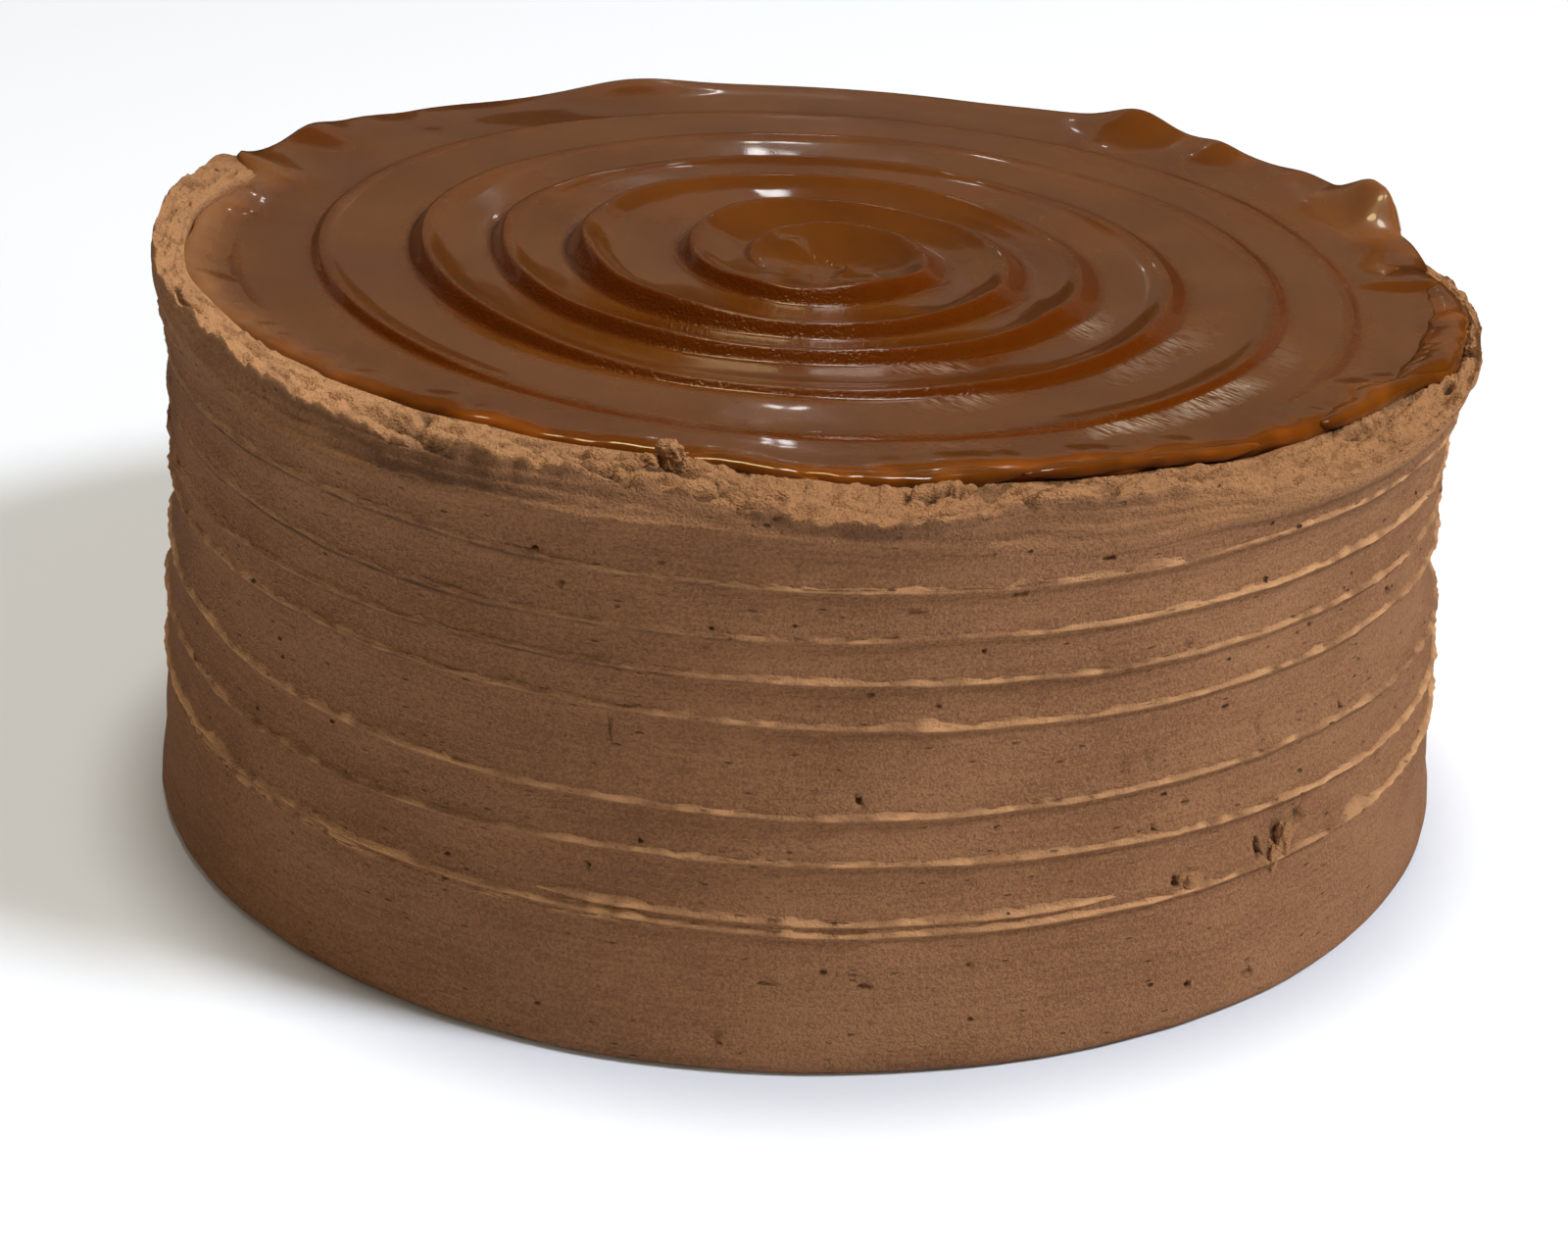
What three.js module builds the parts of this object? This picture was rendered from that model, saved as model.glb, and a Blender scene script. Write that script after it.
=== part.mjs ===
// A round chocolate-frosted cake with a pool of swirled caramel on top, in millimetres, +Z up.
// The origin is the centre of the foot. The front is at -Y, and the right side is at +X.
// Angles are in degrees, counted from +X towards +Y, so the front is at -90.

import * as THREE from "three";

// Side of the cake: radius by height, with a slight waist
const SIDE_PROFILE = [
  [0, 109.2],
  [1.5, 109.8],
  [12, 108.8],
  [30, 107],
  [57, 105.3],
  [98, 105.8],
];
// Flare under the lip: how far down it starts, and how far out it goes, more on the right
const FLARE_REACH = 15;
const FLARE_OUT = 3.6;
const FLARE_OUT_RIGHT = 1.8;

// Smooth band between the foot and the ring where the spatula started
const BASE_RING_HEIGHTS = [0, 1.5, 12, 21];
const BASE_LINE_HEIGHT = 23;

// Heights of the spatula's smear line at the front, one for each turn of its helix
const LINE_HEIGHTS = [23, 34, 42, 56, 62.5, 69.5, 78, 85, 93, 101, 109];
const LINE_WOBBLE = 0.5;
const LINE_WOBBLES_PER_TURN = 3.3;
// Relief across one band: share of the way up to the next line, and how far it stands out
const BAND_RELIEF = [
  [0, 1],
  [0.2, -0.5],
  [0.72, -0.8],
];

// Top: a plane that falls towards the right, with the middle of the swirl as its centre
const TOP_CENTRE = [1.45, 3.6];
const TOP_HEIGHT = 88;
const TOP_TILT = 1.85;

// Lip of torn frosting: its height over the top plane by angle, and the peaks left on it
const LIP_HEIGHT = [
  [-180, 2.6],
  [-163, 3],
  [-135, 0.6],
  [-90, -0.4],
  [-45, -1.2],
  [0, 0],
  [40, 2.7],
  [75, -0.3],
  [95, -0.4],
  [128, -2],
  [152, -1.5],
  [180, 2.6],
];
const LIP_PEAKS = [
  { angle: 174, height: 2.2, spread: 4 },
  { angle: 162, height: 3.2, spread: 4 },
  { angle: 148, height: 3, spread: 3.5 },
  { angle: 109, height: 2.2, spread: 7 },
  { angle: 55.5, height: 4, spread: 4 },
  { angle: 46, height: 1.3, spread: 2.5 },
  { angle: 35, height: 0.8, spread: 3 },
  { angle: 23.5, height: 6.2, spread: 3.2 },
];
const LIP_ROUND = 1.2;
// Torn band from the lip's edge in to the caramel: share of the way in, and roughness where it is wide
const TORN_ROWS = [
  { share: 0.14, roughness: 0.9 },
  { share: 0.42, roughness: 1.7 },
  { share: 0.72, roughness: 1.7 },
];
const TORN_WIDTH = 14;
const TORN_SEED = 7;
// Inner edge of the torn band over the top plane by angle
const BED_RIM = [
  [-180, 0.8],
  [-130, 0.2],
  [-100, -0.8],
  [-60, -2.4],
  [-20, -2],
  [20, -0.4],
  [60, 0.2],
  [180, 0.8],
];

// Caramel pool: radius of its edge from the centre of the swirl by angle
const CARAMEL_EDGE = [
  [-180, 105.6],
  [-165, 104.4],
  [-150, 99.5],
  [-125, 96],
  [-103, 91],
  [-64, 92.4],
  [-45, 95.5],
  [-30, 98],
  [-15, 105],
  [0, 106],
  [45, 103.2],
  [90, 102.2],
  [135, 102.8],
  [180, 105.6],
];
const CARAMEL_DEPTH = 4.5;
const CARAMEL_GAP = 0.3;
// Rounded roll along the edge: how far in from the wall, and its height over the pool
const EDGE_ROLL = [
  [0, -3],
  [0.6, -0.9],
  [2.2, 0.7],
  [5.5, 0.2],
];

// Swirl: a ridge that winds outwards clockwise, highest on the inner turns
const SWIRL_PITCH = 14.9;
const SWIRL_FRONT_PHASE = 0.3255;
const SWIRL_TURNS = 8;
const SWIRL_START_RADIUS = 4;
const SWIRL_HOLLOW = 1.2;
const RIDGE_HEIGHT = [
  [0, 2.4],
  [15, 3.2],
  [40, 3.2],
  [55, 2.2],
  [75, 1.2],
  [95, 0.2],
];
// Relief across one pitch, outwards from a crest: share of the pitch, share of the height
const RIDGE_RELIEF = [
  [0, 1],
  [0.12, 0.12],
  [0.5, 0],
  [0.85, 0.35],
];

// How finely the two surfaces are cut round the cake, from a seam at the back
const CAKE_COLUMNS = 120;
const CARAMEL_COLUMNS = 72;
const SEAM_ANGLE = -270;
const FRONT_ANGLE = -90;
// A row of a winding surface this close to the surface's edge is part of the edge
const SNAP = 0.25;

const FROSTING_COLOUR = 0x7d553a;
const FROSTING_ROUGHNESS = 0.8;
const CARAMEL_COLOUR = 0x5f2b08;
const CARAMEL_ROUGHNESS = 0.2;

// Value between stations [place, value] that are sorted by place, with a smooth change between them.
function between(stations, place) {
  const next = stations.findIndex((station) => station[0] >= place);
  if (next === 0) return stations[0][1];
  if (next < 0) return stations[stations.length - 1][1];
  const [from, low] = stations[next - 1];
  const [to, high] = stations[next];
  return THREE.MathUtils.lerp(low, high, THREE.MathUtils.smoothstep(place, from, to));
}

// The same angle between -180 and 180.
function wrapped(angle) {
  return THREE.MathUtils.euclideanModulo(angle + 180, 360) - 180;
}

// Angle of a column: both ends of a row give the same value.
function columnAngle(column, columns) {
  return SEAM_ANGLE + (360 * (column % columns)) / columns;
}

// A closed surface that is put together from rows of points.
class Shell {
  constructor() {
    this.positions = [];
    this.corners = [];
    this.known = new Map();
  }

  // Number of the point at this place, which is new only if no point is there yet.
  point([x, y, z]) {
    const key = `${x.toFixed(3)} ${y.toFixed(3)} ${z.toFixed(3)}`;
    if (!this.known.has(key)) {
      this.known.set(key, this.known.size);
      this.positions.push(x, y, z);
    }
    return this.known.get(key);
  }

  // A row of points, one for each column, closed by the first of the next turn.
  row(columns, place) {
    const columnNumbers = Array.from({ length: columns + 1 }, (_, column) => column);
    return columnNumbers.map((column) => this.point(place(column)));
  }

  triangle(a, b, c) {
    if (a !== b && b !== c && c !== a) this.corners.push(a, b, c);
  }

  // Faces between a row and the next one up the side or further in on the top.
  strip(row, nextRow) {
    for (let i = 0; i + 1 < row.length; i += 1) {
      this.triangle(row[i], row[i + 1], nextRow[i + 1]);
      this.triangle(row[i], nextRow[i + 1], nextRow[i]);
    }
  }

  strips(rows) {
    for (let i = 0; i + 1 < rows.length; i += 1) this.strip(rows[i], rows[i + 1]);
  }

  // A cap from a row to one point in its middle.
  cap(row, centre) {
    const middle = this.point(centre);
    this.strip(row, row.map(() => middle));
  }

  mesh(name, material) {
    const geometry = new THREE.BufferGeometry();
    geometry.setAttribute("position", new THREE.Float32BufferAttribute(this.positions, 3));
    geometry.setIndex(this.corners);
    geometry.computeVertexNormals();
    const mesh = new THREE.Mesh(geometry, material);
    mesh.name = name;
    return mesh;
  }
}

// Height of the flat caramel above the foot at a distance to the right.
function topHeight(x) {
  return TOP_HEIGHT - Math.tan(THREE.MathUtils.degToRad(TOP_TILT)) * (x - TOP_CENTRE[0]);
}

// Point of the top at an angle and radius from the centre of the swirl, above the top plane.
function topPoint(angle, radius, rise) {
  const turn = THREE.MathUtils.degToRad(angle);
  const x = TOP_CENTRE[0] + radius * Math.cos(turn);
  const y = TOP_CENTRE[1] + radius * Math.sin(turn);
  return [x, y, topHeight(x) + rise];
}

// Height of the lip at an angle, without its peaks.
function lipLine(angle) {
  const x = between(SIDE_PROFILE, TOP_HEIGHT) * Math.cos(THREE.MathUtils.degToRad(angle));
  return topHeight(x) + between(LIP_HEIGHT, wrapped(angle));
}

// Height of the lip at an angle, with its peaks.
function lipHeight(angle) {
  const away = (peak) => wrapped(angle - peak.angle) / peak.spread;
  return LIP_PEAKS.reduce(
    (sum, peak) => sum + peak.height * Math.exp(-(away(peak) ** 2)),
    lipLine(angle),
  );
}

// Point of the side at an angle and height, moved out by the flare and by some relief.
function sidePoint(angle, height, relief = 0) {
  const turn = THREE.MathUtils.degToRad(angle);
  const flare = THREE.MathUtils.clamp(1 - (lipLine(angle) - height) / FLARE_REACH, 0, 1) ** 2;
  const flareOut = flare * (FLARE_OUT + FLARE_OUT_RIGHT * Math.cos(turn));
  const radius = between(SIDE_PROFILE, height) + flareOut + relief;
  return [radius * Math.cos(turn), radius * Math.sin(turn), height];
}

// Height of the smear line after this many turns of its helix, which starts on the base ring.
function lineHeight(turns) {
  if (turns < 0) return BASE_LINE_HEIGHT;
  const from = Math.floor(turns);
  const wobble = LINE_WOBBLE * Math.sin(2 * Math.PI * LINE_WOBBLES_PER_TURN * turns);
  return THREE.MathUtils.lerp(LINE_HEIGHTS[from], LINE_HEIGHTS[from + 1], turns - from) + wobble;
}

// Rows of the side between the base ring and the lip. Each follows the helix, which falls to the
// right by one band in a turn, and is held at the base ring and at the lip where it would pass them.
function helixRows(shell) {
  const frontShare = (FRONT_ANGLE - SEAM_ANGLE) / 360;
  const place = (band, share, relief, column) => {
    const angle = columnAngle(column, CAKE_COLUMNS);
    const turns = band + frontShare - column / CAKE_COLUMNS;
    const height = THREE.MathUtils.lerp(lineHeight(turns), lineHeight(turns + 1), share);
    const top = lipHeight(angle) - LIP_ROUND;
    if (height > top - SNAP) return sidePoint(angle, top);
    if (height < BASE_LINE_HEIGHT + SNAP) return sidePoint(angle, BASE_LINE_HEIGHT, BAND_RELIEF[0][1]);
    return sidePoint(angle, height, relief);
  };
  const bands = Array.from({ length: LINE_HEIGHTS.length - 1 }, (_, band) => band - 1);
  return bands.flatMap((band) =>
    BAND_RELIEF.map(([share, relief]) =>
      shell.row(CAKE_COLUMNS, (column) => place(band, share, relief, column)),
    ),
  );
}

// Rows of the torn band from the lip in to the caramel, with a rough, broken surface.
function tornRows(shell, innerPlace) {
  THREE.MathUtils.seededRandom(TORN_SEED);
  return TORN_ROWS.map(({ share, roughness }) => {
    const lumps = Array.from({ length: CAKE_COLUMNS }, () => THREE.MathUtils.seededRandom() - 0.5);
    return shell.row(CAKE_COLUMNS, (column) => {
      const angle = columnAngle(column, CAKE_COLUMNS);
      const lip = new THREE.Vector3(...sidePoint(angle, lipHeight(angle)));
      const inner = new THREE.Vector3(...innerPlace(column));
      const wideness = Math.min(1, lip.distanceTo(inner) / TORN_WIDTH);
      const place = lip.lerp(inner, share);
      place.z += wideness * roughness * lumps[column % CAKE_COLUMNS];
      return place.toArray();
    });
  });
}

// The cake and its frosting: foot, banded side, torn lip and the shallow bed of the caramel.
function frostedCake() {
  const shell = new Shell();
  const bedPlace = (column, rise) => {
    const angle = columnAngle(column, CAKE_COLUMNS);
    return topPoint(angle, between(CARAMEL_EDGE, wrapped(angle)), rise);
  };
  const bedRim = (column) =>
    bedPlace(column, between(BED_RIM, wrapped(columnAngle(column, CAKE_COLUMNS))));
  const foot = BASE_RING_HEIGHTS.map((height) =>
    shell.row(CAKE_COLUMNS, (column) => sidePoint(columnAngle(column, CAKE_COLUMNS), height)),
  );
  const bedFloor = shell.row(CAKE_COLUMNS, (column) => bedPlace(column, -CARAMEL_DEPTH));
  shell.strips([
    ...foot,
    ...helixRows(shell),
    ...tornRows(shell, bedRim),
    shell.row(CAKE_COLUMNS, bedRim),
    bedFloor,
  ]);
  shell.cap([...foot[0]].reverse(), [0, 0, 0]);
  shell.cap(bedFloor, topPoint(0, 0, -CARAMEL_DEPTH));
  const material = new THREE.MeshStandardMaterial({
    color: FROSTING_COLOUR,
    roughness: FROSTING_ROUGHNESS,
    metalness: 0,
  });
  return shell.mesh("frosted_cake", material);
}

// Radius of the caramel at a column, a distance in from its edge.
function poolRadius(column, inwards) {
  const angle = columnAngle(column, CARAMEL_COLUMNS);
  return between(CARAMEL_EDGE, wrapped(angle)) - CARAMEL_GAP - inwards;
}

// Rows of the swirl from the pool's edge in to its hollow middle. Each follows the ridge, and is
// held at the edge and at the hollow where it would pass them.
function swirlRows(shell) {
  const [rollWidth, rollRise] = EDGE_ROLL[EDGE_ROLL.length - 1];
  const seamTurns = (SEAM_ANGLE - FRONT_ANGLE) / 360;
  const place = (turn, share, heightShare, column) => {
    const angle = columnAngle(column, CARAMEL_COLUMNS);
    const turns = turn + share + SWIRL_FRONT_PHASE - seamTurns - column / CARAMEL_COLUMNS;
    const radius = SWIRL_PITCH * turns;
    const limit = poolRadius(column, rollWidth);
    if (radius > limit - SNAP) return topPoint(angle, limit, rollRise);
    if (radius < SWIRL_START_RADIUS + SNAP) return topPoint(angle, SWIRL_START_RADIUS, -SWIRL_HOLLOW);
    return topPoint(angle, radius, heightShare * between(RIDGE_HEIGHT, radius));
  };
  const turnNumbers = Array.from({ length: SWIRL_TURNS }, (_, turn) => turn - 1);
  const outwards = turnNumbers.flatMap((turn) =>
    RIDGE_RELIEF.map(([share, heightShare]) =>
      shell.row(CARAMEL_COLUMNS, (column) => place(turn, share, heightShare, column)),
    ),
  );
  return outwards.reverse();
}

// The caramel: a pool with a rounded edge and a swirl, clear of the bed it lies in.
function caramelPool() {
  const shell = new Shell();
  const edgeRow = (inwards, rise) =>
    shell.row(CARAMEL_COLUMNS, (column) =>
      topPoint(columnAngle(column, CARAMEL_COLUMNS), poolRadius(column, inwards), rise),
    );
  const bottomRise = CARAMEL_GAP - CARAMEL_DEPTH;
  const bottom = edgeRow(0, bottomRise);
  const roll = EDGE_ROLL.map(([inwards, rise]) => edgeRow(inwards, rise));
  const swirl = swirlRows(shell);
  shell.strips([bottom, ...roll, ...swirl]);
  shell.cap([...bottom].reverse(), topPoint(0, 0, bottomRise));
  shell.cap(swirl[swirl.length - 1], topPoint(0, 0, -SWIRL_HOLLOW));
  const material = new THREE.MeshStandardMaterial({
    color: CARAMEL_COLOUR,
    roughness: CARAMEL_ROUGHNESS,
    metalness: 0,
  });
  return shell.mesh("caramel", material);
}

const cake = new THREE.Group();
cake.add(frostedCake(), caramelPool());

export default cake;
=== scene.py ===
"""Looks of a round chocolate-frosted cake with a pool of swirled caramel on top.

Sizes are in millimetres and angles in degrees, and every mesh is written in metres. The origin is
the centre of the foot, +Z is up, the front is at -Y and the right side is at +X. Angles are counted
from +X towards +Y, so the front is at -90.
"""

import itertools
import logging
import math
from dataclasses import dataclass, field
from enum import Enum
from typing import Any

import bpy
import numpy as np
import numpy.typing as npt
from mathutils import Matrix, Vector

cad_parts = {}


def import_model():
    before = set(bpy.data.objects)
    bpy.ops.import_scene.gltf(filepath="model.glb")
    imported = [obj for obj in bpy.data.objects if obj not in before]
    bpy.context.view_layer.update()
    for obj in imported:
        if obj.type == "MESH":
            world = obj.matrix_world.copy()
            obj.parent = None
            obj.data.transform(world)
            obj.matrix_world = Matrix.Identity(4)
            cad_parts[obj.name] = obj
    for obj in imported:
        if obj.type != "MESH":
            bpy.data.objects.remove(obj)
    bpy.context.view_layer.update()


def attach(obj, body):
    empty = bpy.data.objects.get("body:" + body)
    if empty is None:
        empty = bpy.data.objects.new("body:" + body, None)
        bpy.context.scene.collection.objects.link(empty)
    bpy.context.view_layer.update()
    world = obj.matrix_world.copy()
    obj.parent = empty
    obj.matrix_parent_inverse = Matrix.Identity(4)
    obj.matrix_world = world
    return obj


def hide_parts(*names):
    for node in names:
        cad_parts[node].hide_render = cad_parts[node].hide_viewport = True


LOG = logging.getLogger("cake")
BODY = "root"
MM = 0.001
WELD = 2e-6
SEAM_ANGLE = -270.0
FRONT_ANGLE = -90.0
LATTICE = 256

Numbers = npt.NDArray[np.float64]
Stations = tuple[tuple[float, float], ...]
Span = tuple[float, float, float]
Colour = tuple[float, float, float, float]


class Slot(Enum):
    """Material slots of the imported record."""

    FROSTING = "frosting"
    CARAMEL = "caramel"


class Mark(Enum):
    """Values that a mesh keeps at its points for its material."""

    # Paler torn frosting on the spatula's burrs and on the lip, and also a painted highlight on the
    # burrs' tops where they catch the light, weaker where they lie in shade.
    PALE_AND_HIGHLIGHT = "burr"
    # Painted shade, kept in the hollow attribute: in air holes, cracks, gashes and pits, on the lip's
    # shoulder, in the grooves under the burrs, and on the caramel swirl's steep faces.
    PAINTED_SHADE = "hollow"
    TORN = "torn"
    THIN = "thin"
    SHEEN = "sheen"
    # Painted sheen: pale streaks on the caramel's wrinkled lands at the front right, where the wrinkle
    # bump also goes.
    PAINTED_SHEEN = "painted_sheen"


def smooth_step(low: float | Numbers, high: float | Numbers, value: Numbers) -> Numbers:
    """Soft change from 0 to 1.

    Args:
        low: Value where the change starts.
        high: Value where the change ends.
        value: Values to look at.

    Returns:
        The share of the change at each value.
    """
    share = np.clip((value - low) / (high - low), 0.0, 1.0)
    return share * share * (3.0 - 2.0 * share)


def between(stations: Stations, place: Numbers) -> Numbers:
    """Value that changes smoothly from station to station.

    Args:
        stations: Pairs of place and value, sorted by place.
        place: Places where the value is wanted.

    Returns:
        The value at each place, held before the first and after the last station.
    """
    places, values = np.array(stations, dtype=float).T
    after = np.clip(np.searchsorted(places, place), 1, len(places) - 1)
    share = smooth_step(places[after - 1], places[after], np.asarray(place, dtype=float))
    return values[after - 1] + (values[after] - values[after - 1]) * share


def blend(low: Any, high: Any, share: Any) -> Any:
    """Mix of two numbers, arrays or points."""
    return low + (high - low) * share


def wrapped(angle: Numbers) -> Numbers:
    """The same angles between -180 and 180."""
    return np.mod(angle + 180.0, 360.0) - 180.0


def at_angle(stations: Stations, angle: Numbers) -> Numbers:
    """Value that changes smoothly from station to station round the cake."""
    return between(stations, wrapped(angle))


class LatticeNoise:
    """Smooth seeded noise over space, between about -1 and 1."""

    def __init__(self, seed: int) -> None:
        """Draws the noise.

        Args:
            seed: Number that the draw starts from.
        """
        draw = np.random.default_rng(seed)
        self.order = draw.permutation(LATTICE)
        self.levels = draw.uniform(-1.0, 1.0, LATTICE)
        self.jitter = draw.uniform(0.1, 0.9, (LATTICE, 3))

    def _ticket(self, cell: npt.NDArray[np.int64]) -> npt.NDArray[np.int64]:
        """Number between 0 and the lattice size that belongs to each cell.

        Args:
            cell: Whole-number places of the cells.

        Returns:
            The numbers.
        """
        ticket = self.order[cell[..., 0] % LATTICE]
        ticket = self.order[(ticket + cell[..., 1]) % LATTICE]
        return self.order[(ticket + cell[..., 2]) % LATTICE]

    def smooth(self, places: Numbers) -> Numbers:
        """Noise with one bump to a cell.

        Args:
            places: Points, with x, y and z along the last axis.

        Returns:
            The noise at each point.
        """
        cell = np.floor(places).astype(np.int64)
        share = places - cell
        share = share**3 * (share * (share * 6.0 - 15.0) + 10.0)
        total = np.zeros(places.shape[:-1])
        for corner in itertools.product((0, 1), repeat=3):
            side = np.array(corner)
            weight = np.prod(np.where(side == 1, share, 1.0 - share), axis=-1)
            total += weight * self.levels[self._ticket(cell + side)]
        return total

    def rough(self, places: Numbers, octaves: int = 3) -> Numbers:
        """Noise with finer and weaker noise added.

        Args:
            places: Points, with x, y and z along the last axis.
            octaves: How many layers are added up.

        Returns:
            The noise at each point.
        """
        layers = (self.smooth(places * 2.0**k + 17.3 * k) * 0.5**k for k in range(octaves))
        return sum(layers, np.zeros(places.shape[:-1]))

    def cells(self, places: Numbers) -> tuple[Numbers, Numbers, Numbers]:
        """Scattered cells.

        Args:
            places: Points, with x, y and z along the last axis.

        Returns:
            The distance to the nearest cell's middle, how much further the next one is, and the
            nearest cell's own level.
        """
        home = np.floor(places).astype(np.int64)
        nearest = np.full(places.shape[:-1], 9.0)
        second = np.full(places.shape[:-1], 9.0)
        level = np.zeros(places.shape[:-1])
        for step in itertools.product((-1, 0, 1), repeat=3):
            cell = home + np.array(step)
            ticket = self._ticket(cell)
            distance = np.linalg.norm(cell + self.jitter[ticket] - places, axis=-1)
            closer = distance < nearest
            second = np.where(closer, nearest, np.minimum(second, distance))
            nearest = np.where(closer, distance, nearest)
            level = np.where(closer, self.levels[ticket], level)
        return nearest, second - nearest, level


@dataclass(frozen=True)
class CakeForm:
    """Sizes that the frosting and the caramel share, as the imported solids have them."""

    side: Stations = ((0, 109.2), (1.5, 109.8), (12, 108.8), (30, 107), (57, 105.3), (98, 105.8))
    flare_reach: float = 15.0
    flare: Stations = (
        (-180, 2.8), (-165, 2.3), (-150, 1.4), (-140, 1.0), (-110, 1.2), (-90, 2.0), (-60, 3.0),
        (-30, 5.0), (0, 5.4), (60, 4.5), (120, 2.7), (180, 2.8),
    )
    base_line: float = 23.0
    lines: tuple[float, ...] = (23, 34, 42, 56, 62.5, 69.5, 78, 85, 93, 101, 109)
    line_wobble: float = 0.5
    line_wobbles: float = 3.3
    top_centre: tuple[float, float] = (1.45, 3.6)
    top_height: float = 88.0
    top_tilt: float = 1.85
    lip: Stations = (
        (-180, 2.6), (-163, 3), (-149, 2), (-140, 0.3), (-131, 0.2), (-122, 1), (-110, 1.7),
        (-100, 1.2), (-91, 0.1), (-80, 0.4), (-68, 1.3), (-58, 0.8), (-50, -0.3), (-40, -1.2),
        (0, 0), (14, -0.3), (20, 0.3), (30, 2.6), (40, 1.6), (47, 1.8), (56, 1.4), (75, -0.3),
        (95, -0.4), (122, -1.4), (134, -0.6), (142, 0.6), (152, 0.4), (180, 2.6),
    )
    peaks: tuple[tuple[float, float, float, float], ...] = (
        (174, 2.2, 5, 2), (162, 2.9, 4, 2), (148, 1.8, 3.5, 2), (109, 2.2, 7, 2),
        (55.5, 3.6, 4, 2), (46, 1, 2.5, 2), (35, 0.6, 3, 2),
    )
    flap: Stations = ((19, 0), (22.6, 6.3), (23.8, 6.1), (31, 0))
    flap_reach: float = 10.0
    shoulder: Stations = (
        (-180, 0.9), (-166, 1.6), (-152, 2.6), (-140, 3.2), (-130, 3.8), (-122, 3.8), (-110, 3.6),
        (-100, 3), (-92, 1.0), (-80, 2.0), (-70, 5), (-60, 4), (-50, 2.4), (-40, 1.4), (-15, 1.0),
        (15, 1.0), (32, 0.9), (180, 0.9),
    )
    crown: Stations = (
        (-180, 2.6), (-166, 3.4), (-152, 5), (-140, 5.8), (-125, 5.8), (-110, 5), (-92, 2.6),
        (-80, 3.2), (-68, 6), (-50, 3.2), (-40, 2.2), (0, 2.6), (140, 2.4), (180, 2.6),
    )
    climb: Stations = (
        (-180, 1.6), (-165, 1.4), (-152, 0.3), (-142, 0), (160, 0), (168, 1.2), (174, 1.8),
        (180, 1.6),
    )
    bed_rim: Stations = (
        (-180, 0.8), (-160, 0.3), (-150, -0.6), (-130, -0.8), (-100, -0.9), (-60, -2.4), (-20, -2),
        (20, -0.4), (60, 0.2), (180, 0.8),
    )
    edge: Stations = (
        (-180, 103.8), (-165, 104.2), (-150, 100.4), (-140, 97.6), (-130, 95.6), (-120, 92.8),
        (-103, 89.6), (-86, 91.4), (-68, 90.4), (-58, 91.6), (-45, 95.5), (-30, 97.6), (-15, 105),
        (0, 106), (10, 104.5), (22, 101.5), (34, 103), (90, 102.2), (135, 102.4), (150, 100.6),
        (162, 99.4), (172, 101.6), (180, 103.8),
    )
    caramel_depth: float = 4.5
    film: Stations = ((-180, 0), (2, 0), (16, 1), (161, 1), (168, 0), (180, 0))
    film_relief: float = -0.5
    film_reach: float = 28.0
    peak_reach: float = 18.0
    peak_cover: float = 0.9

    def top(self, x: Numbers) -> Numbers:
        """Height of the top plane at a distance to the right."""
        return self.top_height - math.tan(math.radians(self.top_tilt)) * (x - self.top_centre[0])

    def top_points(self, angle: Numbers, radius: Numbers, rise: Numbers) -> Numbers:
        """Points of the top.

        Args:
            angle: Angles about the middle of the swirl.
            radius: Distances from the middle of the swirl.
            rise: Heights above the top plane.

        Returns:
            Points, with x, y and z along the last axis.
        """
        turn = np.radians(angle)
        x = self.top_centre[0] + radius * np.cos(turn)
        y = self.top_centre[1] + radius * np.sin(turn)
        return np.stack([x, y, self.top(x) + rise], axis=-1)

    def lip_line(self, angle: Numbers) -> Numbers:
        """Height of the lip without its peaks."""
        radius = between(self.side, np.array(self.top_height))
        return self.top(radius * np.cos(np.radians(angle))) + at_angle(self.lip, angle)

    def lip_height(self, angle: Numbers) -> Numbers:
        """Height of the lip with its peaks.

        Args:
            angle: Angles about the middle of the foot.

        Returns:
            The heights.
        """
        height = self.lip_line(angle)
        for place, rise, spread, flatness in self.peaks:
            height = height + rise * np.exp(-(np.abs(wrapped(angle - place) / spread) ** flatness))
        return height + at_angle(self.flap, angle)

    def wall_top(self, angle: Numbers) -> Numbers:
        """Height where the smoothed side ends and the shoulder of the lip starts."""
        return self.lip_height(angle) - at_angle(self.crown, angle)

    def side_radius(self, angle: Numbers, height: Numbers) -> Numbers:
        """Radius of the smooth side at an angle and height, with the flare under the lip."""
        flare = np.clip(1.0 - (self.lip_line(angle) - height) / self.flare_reach, 0.0, 1.0) ** 2
        return between(self.side, height) + flare * at_angle(self.flare, angle)

    def side_points(self, angle: Numbers, height: Numbers, relief: Numbers | float = 0.0) -> Numbers:
        """Points of the side.

        Args:
            angle: Angles about the middle of the foot.
            height: Heights above the foot.
            relief: How far the points stand out from the smooth side.

        Returns:
            Points, with x, y and z along the last axis.
        """
        turn = np.radians(angle)
        radius = self.side_radius(angle, height) + relief
        return np.stack([radius * np.cos(turn), radius * np.sin(turn), height], axis=-1)

    def lip_reach(self, angle: Numbers, relief: float) -> tuple[Numbers, Numbers]:
        """Where rays from the middle of the swirl meet the lip.

        Args:
            angle: Angles of the rays about the middle of the swirl.
            relief: How far the wanted points stand out from the smooth side.

        Returns:
            Distances from the middle of the swirl, and angles about the middle of the foot.
        """
        middle_x, middle_y = self.top_centre
        turn = np.radians(angle)
        toward = middle_x * np.cos(turn) + middle_y * np.sin(turn)
        own = angle
        for _ in range(3):
            radius = self.side_radius(own, self.lip_height(own)) + relief
            reach = np.sqrt(radius**2 - middle_x**2 - middle_y**2 + toward**2) - toward
            own = np.degrees(np.arctan2(middle_y + reach * np.sin(turn), middle_x + reach * np.cos(turn)))
        return reach, own

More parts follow.
